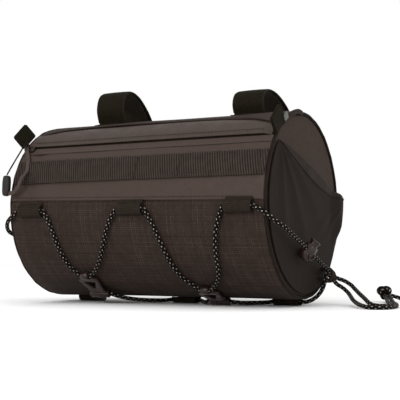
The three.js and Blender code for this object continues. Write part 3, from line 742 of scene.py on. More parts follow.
upper_route = [
    anchor_point(1, MOUTH, CORD_PITCH), anchor_point(1, -20, CORD_PITCH),
    anchor_point(1, -36, CORD_PITCH), anchor_point(1, -60, CORD_PITCH), anchor_point(1, -78, CORD_PITCH),
    *off_axis((118.7, -58, -17.4), (116.6, -65, -14.4), (112.8, -70.4, -10), (107.6, -73, -6)),
    *front_tab(2),
    *on_cloth((75.8, -6.8), (72.8, -12.8), (70.4, -20), (68.6, -28), (67.2, -35.6), (65.2, -43),
        (60.8, -50.6), (55.2, -56)),
    *hook_eye("right", HOOK_EYE, NOSE_REACH),
    *on_cloth((38.4, -55), (33.2, -47.4), (29.8, -39), (27, -29), (23.8, -19), (19.4, -10), (16.4, -5.6)),
    *front_tab(1),
    *on_cloth((-13, -6), (-18, -12.4), (-22.6, -20), (-27.4, -28), (-33, -35.4), (-39.4, -41.6),
        (-43.6, -44.6)),
    *hook_eye("left", HOOK_EYE, NOSE_REACH),
    *on_cloth((-60.4, -42.4), (-63.8, -36), (-65.8, -28), (-68, -19), (-70.8, -11), (-73.6, -6)),
    *front_tab(0),
    *off_axis((-104, -73, -6), (-110.4, -71.4, -10.4), (-115, -67, -14.4), (-118.4, -60, -18.4)),
    anchor_point(-1, -78, CORD_PITCH), anchor_point(-1, -50, CORD_PITCH),
    anchor_point(-1, -20, CORD_PITCH), anchor_point(-1, MOUTH, CORD_PITCH),
]
lower_route = [
    anchor_point(-1, MOUTH + 0.3, CORD_PITCH), anchor_point(-1, MOUTH + 4, CORD_PITCH + 0.2),
    *off_axis((-119.6, 42.4, -58), (-117.6, 43.4, -62.4), (-113.6, 39, -66), (-109, 30, -69.4),
        (-103.6, 20, -72.2)),
    *lower_tab(0),
    *off_axis((-72, 7, -73.2), (-67.6, -4, -72.8), (-64.6, -14, -71.2)),
    *hook_eye("left", -HOOK_EYE, -FOOT_REACH),
    *off_axis((-36.4, -22, -70), (-28, -11, -72.2), (-18, 1, -73.1), (-12, 9, -73)),
    *lower_tab(1),
    *off_axis((19.6, 7.4, -73), (27, -4, -73.2), (32.4, -11, -72.8)),
    *hook_eye("right", -HOOK_EYE, -FOOT_REACH),
    *off_axis((62, -8, -73), (70, 3, -73.2), (75.6, 10, -73)),
    *lower_tab(2),
    *off_axis((107, 14.4, -71.8), (112.6, 16.4, -68.4), (117, 17.4, -62.6), (119.2, 18.4, -55)),
    anchor_point(1, -MOUTH - 0.6, -CORD_PITCH), anchor_point(1, MOUTH, -CORD_PITCH),
]
tail_a_route = [
    anchor_point(1, MOUTH + 0.3, CORD_PITCH), anchor_point(1, 9.6, CORD_PITCH),
    *over_floor((120.6, 41.4, 20.1), (124, 45.6, 18.4), (129, 45.6, 15.6), (134.6, 40, 12.4),
        (141.6, 30.4, 9.2), (149.6, 19.4, 6), (156, 10.4, 3.3), (161.6, 5.4, 2), (167.6, 6.8),
        (169.8, 13.5), (168.4, 22), (165, 32.6), (159.6, 47), (152, 67.5), (145.6, 85, 2.2),
        (140, 98.8, 5)),
]
tail_b_route = [
    anchor_point(1, MOUTH + 0.3, -CORD_PITCH), anchor_point(1, 9.6, -CORD_PITCH),
    *over_floor((120.6, 39, 15.9), (124.2, 42, 13), (128.8, 40, 9.8), (133.4, 33, 7.4), (140, 20.6, 4.8),
        (149, 5, 2.9), (157.6, -8.2, 2), (164.6, -15), (172, -15.4), (176.6, -9), (176.8, 4), (172.6, 23),
        (164.6, 43.5), (156.6, 66), (149.8, 84.5, 2.2), (143, 99.6, 5)),
]
tail_end_route = [
    *over_floor((142.6, 106.2, 5.2), (147.4, 108.6, 3.6), (153, 110.6), (161, 112), (174, 112.4)),
]
KNOT_CENTRE = on_floor(137, 104.6, 8.0)
KNOT_ACROSS = unit(np.array([2.0, 1.0, 0.0]))
KNOT_SCALE, KNOT_DEPTH = 1.4, 2.6
UP = np.array([0.0, 0.0, 1.0])


def cord_piece(name, route, node):
    line = curve_through(route, 0.9)
    return piece(name, tube_mesh(line, CORD_RADIUS + 0.1), CORD, [node]), line


cord_piece("lacing_upper", upper_route, "bungee_upper")
cord_piece("lacing_lower", lower_route, "bungee_lower")
tail_a, line_a = cord_piece("free_cord_a", tail_a_route, "tail_a")
tail_b, line_b = cord_piece("free_cord_b", tail_b_route, "tail_b")
tail_end, line_end = cord_piece("free_cord_end", tail_end_route, "tail_end")

# An overhand knot of the doubled cord: a trefoil that stands upright on the floor.
knot_line = []
for k in range(0, 161):
    t = math.tau * k / 160
    aside = (math.sin(t) + 2 * math.sin(2 * t)) * KNOT_SCALE
    up = (math.cos(t) - 2 * math.cos(2 * t)) * KNOT_SCALE
    behind = -math.sin(3 * t) * KNOT_DEPTH
    knot_line.append(KNOT_CENTRE + KNOT_ACROSS * aside + UP * up + np.cross(UP, KNOT_ACROSS) * behind)
knot_mesh = tube_mesh(np.array(knot_line), CORD_RADIUS + 0.7, 12)
knot = piece("knot", knot_mesh, CORD, ["tail_knot"])

# ---------------------------------------------------------------- cloth panels
def front_seam(x):
    return 2.5 - 0.0162 * x


def line_on_bag(points, off, step=1.0):
    """A line over the bag through (station, angle) places."""
    return curve_through([on_bag(x, angle, off) for x, angle in points], step)


def from_bag_axis(point):
    return unit((point - AXIS) * np.array([0, 1, 1]))


def sewn(name, lines, body="bag"):
    piece(name, joined([stitch_mesh(line, from_bag_axis) for line in lines]), THREAD, body=body)


def near(distance, reach):
    """1 at a line, falling smoothly to 0 away from it."""
    return np.exp(-((distance / reach) ** 2))


def end_puckers(x, angle, size, seed):
    """Small gathers where a panel is sewn to its end."""
    away = PANEL_HALF - np.abs(x)
    side = np.where(x > 0, 1.0, 2.0)
    return size * np.exp(-away / 7) * (waves(angle / 2.6, side * 4, seed, 5) - 0.4)


def strap_pull(x, angle):
    """The soft hollows that the bar straps pull into the cloth round their feet."""
    hollow = 0.0
    for station in (-STRAP_X, STRAP_X):
        hollow = hollow + near(x - station, 20) * near((angle - 82) * PER_DEGREE, 24)
    return -0.5 * hollow


def lower_relief(x, angle):
    to_seam = (front_seam(x) - angle) * PER_DEGREE
    to_bottom = (angle - LOWER_SEAM) * PER_DEGREE
    sag = 0.34 * waves(x / 25, angle / 13, 3) - 0.1
    return sag + end_puckers(x, angle, 0.4, 11) - 0.75 * near(to_seam, 1.6) - 0.6 * near(to_bottom, 2.5)


def band_relief(x, angle):
    to_seam = (angle - front_seam(x)) * PER_DEGREE
    dent = 1.0 * near(x + 92, 6) * smooth_step(angle / 8)
    soft = 0.16 * waves(x / 22, angle / 9, 5) - 0.1
    return np.minimum(soft + end_puckers(x, angle, 0.35, 12), 0.2) - dent + 0.35 * near(to_seam, 2.0)


def back_relief(x, angle):
    soft = 0.55 * waves(x / 26, angle / 15, 8) - 0.35
    hinge = 0.5 * near((angle - LID_HINGE) * PER_DEGREE, 2.2)
    return np.minimum(soft + end_puckers(x, angle, 0.4, 13) + strap_pull(x, angle), 0.2) - hinge


ZIP_CLEAR = math.degrees(4.6 / RADIUS)
BAND_TO = ZIP_ANGLE - ZIP_CLEAR
LID_FROM = ZIP_ANGLE + ZIP_CLEAR
BACK_SEAM = LOWER_SEAM + 360
PANEL_ENDS = (-PANEL_HALF - 0.7, PANEL_HALF + 0.7)  # the ends run in under the piping

cloth_strip("lower_cloth", PANEL_ENDS, LOWER_SEAM + 0.15, lambda x: front_seam(x) + 0.6, lower_relief, 2.0,
            RIPSTOP, ["lower_panel"])
cloth_strip("band_cloth", PANEL_ENDS, front_seam, BAND_TO, band_relief, 2.0, COATED, ["front_band"])
cloth_strip("back_cloth", PANEL_ENDS, LID_HINGE + 0.15, BACK_SEAM - 0.15, back_relief, 2.0, COATED,
            ["back_panel"], step=2.6)


def lid_relief(x, angle):
    soft = 0.3 * waves(x / 24, angle / 10, 15) + 0.35
    ends = 0.5 * near(PANEL_HALF - np.abs(x), 6)
    return np.maximum(soft + strap_pull(x, angle) - ends, 0.05)


def gusset_relief(x, angle):
    return -0.9 + 0.1 * waves(x / 6, angle / 8, 16)


for side, sign in SIDES:
    ends = sorted((sign * (LID_HALF + 0.3), sign * PANEL_HALF))
    cloth_strip(f"gusset_cloth_{side}", ends, LID_FROM, LID_HINGE - 0.1, gusset_relief, 1.1, COATED,
                [f"gusset_{side}"], step=1.5)
# The lid cloth takes the darker top colour, which is painted shade.
cloth_strip("lid_cloth", (-LID_HALF, LID_HALF), LID_FROM, LID_HINGE - 0.3,
            lambda x, a: lid_relief(x, a) - 0.9, 1.1, TOP_CLOTH_PAINTED_SHADE, ["lid_panel"], body="lid")


def flap_top(x):
    return np.interp(x, [-107, -100, -85, -60, 0, 60, 85, 100, 107], [54, 58, 63, 65.5, 66, 64, 61, 56, 52])


def flap_bottom(x):
    return np.interp(x, [-106, -60, 0, 60, 100, 104, 107], [43.5, 43.5, 43.6, 43.5, 43.4, 43.1, 42.6])


def skin_relief(x, angle):
    """The lid's top panel: its folded front hem stands over the flap."""
    above = (angle - flap_top(x)) * PER_DEGREE
    return lid_relief(x, angle) + 1.5 * near(above, 3.4)


def flap_relief(x, angle):
    down = (angle - flap_bottom(x)) * PER_DEGREE
    top = (flap_top(x) - angle) * PER_DEGREE
    soft = 0.22 * waves(x / 20, angle / 7, 21) * smooth_step(down / 6)
    right_end = near(107 - x, 5)
    over_slider = 0.9 * near(x + 104, 6)
    lip = (soft + 0.4 * near(down, 2.2)) * (1 - right_end)
    return 1.2 + lip + over_slider - 0.6 * right_end - 0.75 * near(top, 3.0)


# The lid's top panel takes the darker top colour, which is painted shade.
cloth_strip("lid_skin", (-106.6, 106.8), lambda x: flap_top(x) - 0.4, LID_HINGE - 0.3, skin_relief, 0.9,
            TOP_CLOTH_PAINTED_SHADE, body="lid", step=1.8)
cloth_strip("flap_cloth", (-105.4, 107), flap_bottom, lambda x: flap_top(x) + 1.6, flap_relief, 0.9,
            COATED, ["storm_flap"], body="lid", step=1.6)

LIP_FROM = BAND_TO - 1.6


def lip_relief(x, angle):
    """The band's hem goes on over the lower zip tape, just under the slider."""
    return 0.2 + 0.25 * near((angle - LIP_FROM) * PER_DEGREE, 1.5)


cloth_strip("zip_lip", PANEL_ENDS, LIP_FROM, ZIP_ANGLE - 0.1, lip_relief, 0.35, COATED)

stations = np.linspace(-104, 104, 27)
sewn("stitches_band", [line_on_bag([(x, front_seam(x) + 2.0) for x in stations], 0.28)])
sewn("stitches_flap", [
    line_on_bag([(x, flap_bottom(x) + 3.6) for x in stations], 1.85),
    line_on_bag([(x, flap_top(x) + 1.9) for x in stations], 1.3),
], "lid")

# ---------------------------------------------------------------- the inside
def lining_relief(x, angle):
    return -4.3 + 0.35 * waves(x / 13, angle / 9, 31)


LINING_FROM, LINING_TO = LID_HINGE + 1, BAND_TO + 359  # round the back and the bottom to the zip
cloth_strip("lining_cloth", (-106.8, 106.8), LINING_FROM, LINING_TO, lambda x, a: np.full_like(x, -2.3), 1.6,
            LINING, ["foam_stiffener"], step=4)
cloth_strip("lining_face", (-106.6, 106.6), LINING_FROM, LINING_TO, lining_relief, 0.7, LINING, step=3)
cloth_strip("lid_lining", (-LID_HALF + 1, LID_HALF - 1), LID_FROM + 1, LID_HINGE - 1.2,
            lambda x, a: -1.75 + 0.1 * waves(x / 12, a / 8, 33), 0.6, LINING, body="lid", step=3)

# ---------------------------------------------------------------- the zip
TAPE_OUT, TAPE_EDGE, TAPE_WIDTH = -0.2, 1.0, 3.3


def zip_tape(name, ends, side, body, replaces):
    """One side of the zip: its tape and a row of coil teeth along the edge."""
    near_edge = ZIP_ANGLE + side * math.degrees(TAPE_EDGE / RADIUS)
    far_edge = ZIP_ANGLE + side * math.degrees((TAPE_EDGE + TAPE_WIDTH) / RADIUS)
    low, high = sorted((near_edge, far_edge))
    cloth_strip(name, ends, low, high, lambda x, a: np.full_like(x, TAPE_OUT), 1.0, ZIP_TAPE, replaces,
                body=body)
    teeth = []
    for x in np.arange(ends[0] + 0.8, ends[1] - 0.6, 1.3):
        centre = on_bag(x, ZIP_ANGLE, -0.45)
        up = upward(ZIP_ANGLE)
        teeth.append(tube_mesh(np.array([centre + up * side * t for t in (0.25, 0.8, 1.7)]), 0.42, 6))
    piece(name + "_teeth", joined(teeth), ZIP_TAPE, body=body)


zip_tape("tape_upper", (-LID_HALF, LID_HALF), 1, "lid", ["zip_tape_upper"])
zip_tape("tape_lower", PANEL_ENDS, -1, "bag", ["zip_tape_lower"])
zip_tape("tape_end_left", (-PANEL_HALF, -LID_HALF - 0.3), 1, "bag", ["zip_tape_end_left"])
zip_tape("tape_end_right", (LID_HALF + 0.3, PANEL_HALF), 1, "bag", ["zip_tape_end_right"])

SLIDER_LEFT, SLIDER_RIGHT, SLIDER_INNER_LEFT, BRIDGE_X = -109.4, -99.2, -106.6, -106.2
PULL_PIVOT = 4.6
ZIP_OUT, ZIP_UP = outward(ZIP_ANGLE), upward(ZIP_ANGLE)


def zip_plate(left, right, reach, depth, off):
    middle, half = (left + right) / 2, (right - left) / 2
    narrow, step = reach * 0.62, half * 0.3
    shape = [(-half, -narrow), (-half, narrow), (step, reach), (half, reach), (half, -reach), (step, -reach)]
    return plate_mesh([rounded(shape, 1.4)], depth, 0.3, on_bag(middle, ZIP_ANGLE, off), [1, 0, 0], ZIP_UP)


bridge_line = curve_through([
    on_bag(BRIDGE_X, ZIP_ANGLE, 0) + ZIP_OUT * n + ZIP_UP * t
    for t, n in ((-2.5, 1.4), (-2.5, 3.6), (-1.9, 4.5), (0, 4.6), (1.9, 4.5), (2.5, 3.6), (2.5, 1.4))
], 0.3)
slider = joined([
    zip_plate(SLIDER_LEFT, SLIDER_RIGHT, 4, 1.5, 1.1),
    zip_plate(SLIDER_INNER_LEFT, SLIDER_RIGHT, 4, 1.4, -2.4),
    zip_plate(-104.6, -100.4, 0.6, 2.6, -0.6),
    tube_mesh(bridge_line, 0.6, 10),
])
piece("slider_metal", slider, METAL, ["zip_slider"], body="zip_slider")

# ---------------------------------------------------------------- the pull
PULL_ANGLE, PULL_LENGTH, PULL_LEAN, PULL_TURN = 36, 30, 4, 1.6
GRIP_ANGLE, GRIP_LENGTH, GRIP_WIDTH, GRIP_THICK = 4, 16, 6.4, 4.8


def pull_point(down, out, aside=0.0):
    x = BRIDGE_X - PULL_LEAN * down / PULL_LENGTH + aside
    return on_bag(x, ZIP_ANGLE, PULL_PIVOT) - upward(PULL_ANGLE) * down + outward(PULL_ANGLE) * out


outer_strand = curve_through([
    pull_point(31, 0.9, 0.3), pull_point(22, 1.2), pull_point(10, 1.6), pull_point(2, 1.7),
    pull_point(-0.9, 1.1), pull_point(-1.6, 0), pull_point(-0.8, -1.1), pull_point(1.5, -1.7),
], 0.5)
grip_top = pull_point(PULL_LENGTH + 1.6, 0)
grip_down, grip_out = -upward(GRIP_ANGLE), outward(GRIP_ANGLE)
inner_strand = curve_through([
    pull_point(1.5, -1.7), pull_point(5, -2.2, 2.2), pull_point(11, -2.8, 6.4), pull_point(18, -3.0, 10.2),
    pull_point(25, -3.4, 12.8), grip_top + grip_down * 3 + np.array([13.8, 0, 0]),
    grip_top + grip_down * 9 + np.array([11.2, 0, 0]), grip_top + grip_down * 13.2 + np.array([6.8, 0, 0]),
    grip_top + grip_down * 14 + np.array([1.4, 0, 0]),
], 0.5)
piece("pull_strands", tube_mesh(outer_strand, 0.62, 8), PULL_CORD, ["pull_cord"], body="zip_pull")
band = tube_mesh(inner_strand, 1.75, 14, outward(PULL_ANGLE), flat=0.38)
piece("pull_ribbon", band, PULL_RIBBON, body="zip_pull")

grip_outline = rounded([
    (-2.4, 0.3), (2.4, 0.3), (3.2, -4), (3.1, -12),
    (2.3, -GRIP_LENGTH), (-2.3, -GRIP_LENGTH), (-3.1, -12), (-3.2, -4),
], 1.8)
grip_plate = plate_mesh([grip_outline], GRIP_THICK, 1.5, grip_top, [1, 0, 0], -grip_down)
ridges = []
for down in (4.5, 6.6, 8.7, 10.8, 12.9):
    middle = grip_top + grip_down * down + grip_out * 2.15
    ridges.append(tube_mesh(np.array([middle + np.array([dx, 0, 0]) for dx in (-1.9, 0, 1.9)]), 0.5, 8))
piece("grip_rubber", joined([grip_plate, *ridges]), RUBBER, ["pull_grip"], body="zip_pull")

# ---------------------------------------------------------------- ends and piping
DISC_RADIUS, DISC_OUT = 66.6, 109.6


def disc_grid(radius, count):
    """A square grid of points pressed into a disc."""
    t = np.linspace(-1, 1, count)
    t = np.sign(t) * (1 - (1 - np.abs(t)) ** 1.15)
    a, b = np.meshgrid(t, t, indexing="ij")
    return a * np.sqrt(1 - b * b / 2) * radius, b * np.sqrt(1 - a * a / 2) * radius, t * radius


for side, sign in SIDES:
    y, w, places = disc_grid(DISC_RADIUS + 0.9, 72)
    share = np.hypot(y, w) / (DISC_RADIUS + 0.9)
    bulge = 0.7 * (1 - share**2) + 0.28 * waves(y / 13, w / 13, 41) * (1 - share**4)
    gathers = 0.35 * smooth_step((share - 0.8) / 0.2) * waves(np.arctan2(w, y) * 14, share, 43, 5)
    out = DISC_OUT - 0.35 + bulge - 0.9 * edge_drop((1 - share) * DISC_RADIUS, 1.0) + gathers * (1 - share)
    outer = np.stack([sign * out, y, w], -1) + AXIS
    inner = np.stack([np.full_like(out, sign * (DISC_OUT - 2.4)), y, w], -1) + AXIS
    made = sheet_mesh(outer, inner, places, places)
    piece(f"end_cloth_{side}", made, END_CLOTH, [f"end_panel_{side}"])
    y, w, places = disc_grid(DISC_RADIUS - 1.5, 30)
    inside = np.stack([np.full_like(y, sign * (DISC_OUT - 2.6)), y, w], -1) + AXIS
    made = sheet_mesh(inside, inside - np.array([sign * 0.6, 0, 0]), places, places)
    piece(f"end_lining_{side}", made, LINING)
    turns = np.linspace(0, math.tau, 241)
    wobble = 0.12 * np.sin(turns * 23) + 0.08 * np.sin(turns * 41 + 1)
    ring = np.stack([np.full_like(turns, sign * (HALF - 1.6)), np.cos(turns) * (68.7 + wobble),
                     np.sin(turns) * (68.7 + wobble)], -1) + AXIS
    tube = tube_mesh(ring, 1.1, 12, [1, 0, 0])
    piece(f"piping_cord_{side}", tube, PIPING, [f"piping_{side}"])

# ---------------------------------------------------------------- webbing on the front
TAPE_LOW, TAPE_HIGH, TAPE_TACKS = 15, 31, (-104, 3.5, 40, 104)


def rib_relief(x, angle):
    """Raised ribs that lean a little, pressed flat where the tape is sewn down."""
    lean = x + np.radians(angle - TAPE_LOW) * RADIUS * RIB_LEAN
    rib = 0.2 * np.sin(lean * math.tau / RIB_PITCH)
    tacks = sum(near(x - station, 0.9) for station in TAPE_TACKS)
    edges = np.minimum(angle - TAPE_LOW, TAPE_HIGH - angle) * PER_DEGREE
    lift = 0.25 * np.abs(np.sin((x - 3.5) * math.pi / 36.5)) ** 0.7
    dent = 0.8 * near(x + 92, 6)
    return 1.62 + lift + rib * smooth_step(edges / 1.5) * (1 - tacks) - 0.7 * tacks - dent


cloth_strip("loop_tape", (-108.2, 108.6), TAPE_LOW, TAPE_HIGH, rib_relief, 1.2, TAPE, ["daisy_chain"],
            step=0.34)
tack_lines = []
for station in TAPE_TACKS:
    for dx in (-0.5, 0.5):
        tack_lines.append(line_on_bag([(station + dx, 16), (station + dx, 23), (station + dx, 30)], 1.25))
edge_lines = [line_on_bag([(x, angle) for x in stations], 1.75) for angle in (16.2, 29.8)]
sewn("stitches_tape", tack_lines + edge_lines)

GRAB_X, GRAB_ANGLE = 110.9, 50
GRAB_LEAN = {"left": 0.36, "right": 0.0}  # how far each tab leans out over its height
for side, sign in SIDES:
    up, out = upward(GRAB_ANGLE), unit(outward(GRAB_ANGLE) + np.array([sign * GRAB_LEAN[side], 0, 0]))
    across = np.cross(out, up)
    foot = on_bag(sign * (GRAB_X - 0.6), GRAB_ANGLE, 0)
    shape = rounded([(-9.4, 0.3), (-9.3, 13.2), (9.3, 13.2), (9.4, 0.3)], 1.8)
    layers = [plate_mesh([shape], 1.0, 0.25, foot + across * layer, up, out) for layer in (-0.66, 0.66)]
    fold = np.array([foot + out * 12.7 + up * t for t in (-8.2, -3, 0, 3, 8.2)])
    layers.append(tube_mesh(fold, 0.9, 8))
    piece(f"grab_loop_{side}", joined(layers), STRAP, [f"grab_tab_{side}"])

# ---------------------------------------------------------------- webbing that holds the cord
def folded_tab(name, profile, x0, x1, place, replaces, thickness=1.1):
    """A strip of webbing folded over a cord. Profile is a line in a plane; place puts it on the bag."""
    line = curve_through([(a, b, 0.0) for a, b in profile], 0.55)[:, :2]
    tangents = directions(line)
    normals = np.stack([tangents[:, 1], -tangents[:, 0]], 1)
    stations_x = marks(x0, x1, 1.5)
    rim = np.minimum(stations_x - x0, x1 - stations_x)
    roll = edge_drop(rim, 0.5)[:, None, None]
    lengths = lengths_along(line)

    def grid(offset):
        flat = line[None] + normals[None] * (offset - np.sign(offset) * roll)
        return np.array([[place(x, *point) for point in row] for x, row in zip(stations_x, flat)])

    made = sheet_mesh(grid(thickness / 2), grid(-thickness / 2), stations_x, lengths)
    return piece(name, made, WEBBING, replaces)


FRONT_PROFILE = [
    (6.4, 0.9), (4.6, 1.9), (3.6, 4.0), (1.6, 5.3), (-0.9, 5.5), (-3.2, 4.6), (-4.3, 2.6),
    (-4.5, 1.0),
]
LOWER_PROFILE = [
    (5.0, 5.2), (4.9, 3.0), (3.4, 1.1), (0.8, 0.58), (-1.2, 0.6), (-3.6, 1.2), (-4.9, 3.0), (-5.0, 5.0),
]
ANCHOR_PROFILE = [
    (-8.0, 4.2), (-3.0, 4.6), (0.6, 4.1), (2.2, 2.0), (2.4, 0), (2.2, -2.0), (0.6, -4.1), (-3.0, -4.6),
    (-8.0, -4.2),
]


def on_front_tab(x, up, out):
    return on_bag(x, FRONT_TAB_ANGLE, out) + upward(FRONT_TAB_ANGLE) * up


def on_lower_tab(x, aside, height):
    return from_axis(x, LOWER_TAB_Y + aside, height - AXIS[2])


for i, x in enumerate(TAB_STATIONS):
    folded_tab(f"front_loop_{i + 1}", FRONT_PROFILE, x - TAB_HALF_WIDTH, x + TAB_HALF_WIDTH, on_front_tab,
               [f"cord_tab_front_{i + 1}"])
    folded_tab(f"lower_loop_{i + 1}", LOWER_PROFILE, x - TAB_HALF_WIDTH, x + TAB_HALF_WIDTH, on_lower_tab,
               [f"cord_tab_lower_{i + 1}"])
for side, sign in SIDES:
    def on_anchor(run, out, up, sign=sign):
        return anchor_point(sign, run, up) + np.array([sign * out, 0, 0])

    folded_tab(f"anchor_loop_{side}", ANCHOR_PROFILE, -3.4, 4.4, on_anchor, [f"cord_anchor_{side}"])

# ---------------------------------------------------------------- hooks and lock
def ring_mesh(inner, outer, half, centre, axis):
    round_by = 0.35
    profile = [(inner, -half), (outer - round_by, -half), (outer, -half + round_by), (outer, half - round_by),
               (outer - round_by, half), (inner, half)]
    return lathe_mesh(profile, axis, centre, 28)


for side, (x, angle) in HOOKS.items():
    up = upward(angle)
    middle = on_bag(x, angle, HOOK_OFF)
    shape = [(-3.2, 11), (-9, 8), (-6.5, -8), (-8.2, -11), (8.2, -11), (6.5, -8), (9, 8), (3.2, 11)]
    window = [(-5.4, 5.6), (5.4, 5.6), (0, -5)]
    flat = plate_mesh([rounded(shape, 2.4), rounded(window, 1.6)], 2.6, 0.8, middle, [1, 0, 0], up)
    nose = ring_mesh(1.8, 3.0, 3.2, middle + up * HOOK_EYE, [1, 0, 0])
    foot = ring_mesh(1.8, 3.0, 8.2, middle - up * HOOK_EYE, [1, 0, 0])
    piece(f"hook_{side}", joined([flat, nose, foot]), PLASTIC, [f"cord_hook_{side}"], sharp=50)

LOCK_TILT = math.radians(35)
lock_centre = anchor_point(1, -47.5, CORD_PITCH)
lock_axis = RUN_NORMAL * math.cos(LOCK_TILT) + np.array([1.0, 0, 0]) * math.sin(LOCK_TILT)
lock_side = np.cross(RUN, lock_axis)


def cut_through(obj, bottom, top):
    """Cuts a slot for the cord through a piece of the lock, rounded at both heights."""
    radius = 1.75
    outline = []
    for k in range(13):
        a = math.pi * k / 12
        outline.append((math.cos(a) * radius, top + math.sin(a) * radius))
    for k in range(13):
        a = math.pi + math.pi * k / 12
        outline.append((math.cos(a) * radius, bottom + math.sin(a) * radius))
    front = [lock_centre + lock_side * u + lock_axis * v - RUN * 10 for u, v in outline]
    back = [p + RUN * 20 for p in front]
    count = len(front)
    faces = [[j, (j + 1) % count, count + (j + 1) % count, count + j] for j in range(count)]
    faces += [list(range(count))[::-1], [count + j for j in range(count)]]
    vertices = np.array(front + back)
    faces, _ = turned_out(vertices, faces, None)
    mesh = bpy.data.meshes.new("slot")
    mesh.from_pydata((vertices * MM).tolist(), [], faces)
    tool = bpy.data.objects.new("slot", mesh)
    bpy.context.scene.collection.objects.link(tool)
    modifier = obj.modifiers.new("slot", "BOOLEAN")
    modifier.object = tool
    modifier.solver = "EXACT"
    bpy.context.view_layer.update()
    done = bpy.data.meshes.new_from_object(obj.evaluated_get(bpy.context.evaluated_depsgraph_get()))
    obj.modifiers.clear()
    obj.data = done
    bpy.data.objects.remove(tool)

body_profile = [
    (0, -7.8), (2.3, -7.8), (3.4, -7.4), (4.5, -6.3), (5.2, -4.8), (5.6, -3.0), (5.7, -0.6),
    (5.5, 1.6), (5.1, 3.4), (4.75, 4.4), (4.35, 4.65), (3.9, 4.55), (3.7, 4.2), (3.7, -6.8),
    (0, -6.8),
]
button_profile = [
    (0, -2.95), (3.4, -2.95), (3.4, 7.2), (4.0, 7.35), (4.2, 7.7), (4.15, 8.2), (3.7, 8.6), (3.0, 8.75),
    (1.1, 8.5), (0, 8.4),
]
made = lathe_mesh(body_profile, lock_axis, lock_centre, 40)
lock = piece("lock_shell", made, PLASTIC, ["lock_body"], body="cord_lock", sharp=50)
cut_through(lock, 0.0, 0.0)
made = lathe_mesh(button_profile, lock_axis, lock_centre, 40)
button = piece("lock_plunger", made, PLASTIC, ["lock_button"], body="lock_button", sharp=50)
cut_through(button, 0.0, 2.5)

SPRING_FROM, SPRING_TO, SPRING_TURNS, SPRING_FOOT = -6.4, -3.4, 2.5, -6.75
coil = []
for share in np.linspace(0, 1, 61):
    turn = math.tau * SPRING_TURNS * share
    around = unit(RUN) * math.cos(turn) + lock_side * math.sin(turn)
    coil.append(lock_centre + around * 3.1 + lock_axis * (SPRING_FROM + (SPRING_TO - SPRING_FROM) * share))
made = tube_mesh(np.array(coil), 0.32, 8, lock_axis)
spring = piece("lock_coil", made, METAL, ["lock_spring"], body="cord_lock")
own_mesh(spring)

face_on = unit(np.array([1.0, 0, 0]) - lock_axis * lock_axis[0])
made = ring_mesh(2.1, 3.4, 1.2, lock_centre + face_on * 5.0 - lock_axis * 2.2, face_on)
piece("lock_ring", made, PLASTIC, body="cord_lock", sharp=50)

# A rolled bit of cloth covers the zip's right end, with a grey stay behind the grab tab.
garage = curve_through([on_bag(109.2, 56, -1.4), on_bag(110.2, 63, -0.5), on_bag(110.6, 71, -0.2),
                        on_bag(110.4, 79, -0.3), on_bag(109.2, 86, -1.4)], 0.8)
swell = 1.9 + 0.35 * waves(np.linspace(0, 9, len(garage)), 0.0, 71)
piece("zip_garage", tube_mesh(garage, swell, 12), HEM)
stay = plate_mesh([rounded([(-3.4, 0.2), (-3.4, 5.2), (3.4, 5.6), (3.4, 0.2)], 1.0)], 0.8, 0.2,
                  on_bag(112.2, 58, 0), upward(58), outward(58))
piece("zip_stay", stay, LINING)

# ---------------------------------------------------------------- stretch pockets
MOUTH_FRONT, MOUTH_REAR = (-49.0, 44.0), (65.0, 6.6)
POCKET_RIM, POCKET_FROM, POCKET_TO = DISC_RADIUS - 1, 38, -186
# each fold: the corner it runs from, its direction, its half width and its height
POCKET_FOLDS = [
    (MOUTH_FRONT, -82, 0.11, 2.4), (MOUTH_FRONT, -57, 0.09, 2.6), (MOUTH_FRONT, -36, 0.08, 1.8),
    (MOUTH_REAR, -150, 0.09, 1.6), (MOUTH_REAR, -128, 0.1, 1.3),
]


def pocket_points(sign, u, v, side):
    """Points of a pocket: u runs along its mouth from front to rear, v from the mouth to the rim."""
    angle = np.radians(POCKET_FROM + (POCKET_TO - POCKET_FROM) * u)
    rim_y, rim_w = -np.cos(angle) * POCKET_RIM, np.sin(angle) * POCKET_RIM
    y = MOUTH_FRONT[0] + (MOUTH_REAR[0] - MOUTH_FRONT[0]) * u
    w = MOUTH_FRONT[1] + (MOUTH_REAR[1] - MOUTH_FRONT[1]) * u
    rear = smooth_step((u - 0.8) / 0.1)
    y, rim_y = y + 3.4 * rear, rim_y + 3.4 * rear
    y, w = y + (rim_y - y) * v, w + (rim_w - w) * v
    folds = 0.0
    for corner, turn, width, height in POCKET_FOLDS:
        run, drop = y - corner[0], w - corner[1]
        away = np.hypot(run, drop)
        side_of = np.arctan2(drop, run) - math.radians(turn)
        folds = folds + height * near(side_of, width) * away / (away + 9) * np.exp(-away / 80)
    above_lock = smooth_step((w + 34) / 22)
    loose = smooth_step(u / 0.12) * smooth_step((1 - v) / 0.3) * above_lock
    slack = 4.8 * np.sin(math.pi * u) ** 0.7 * (1 - v) ** 2.2
    rim_gather = waves(u * 60, v, 51, 5) * smooth_step((v - 0.75) / 0.25) * (1 - v)
    block = 4.2 * rear * (1 - smooth_step((v - 0.8) / 0.2))
    x = DISC_OUT + 0.9 + np.maximum(slack + folds * loose, 0) + block + rim_gather + side
    return np.stack([sign * x, y, w], -1) + AXIS


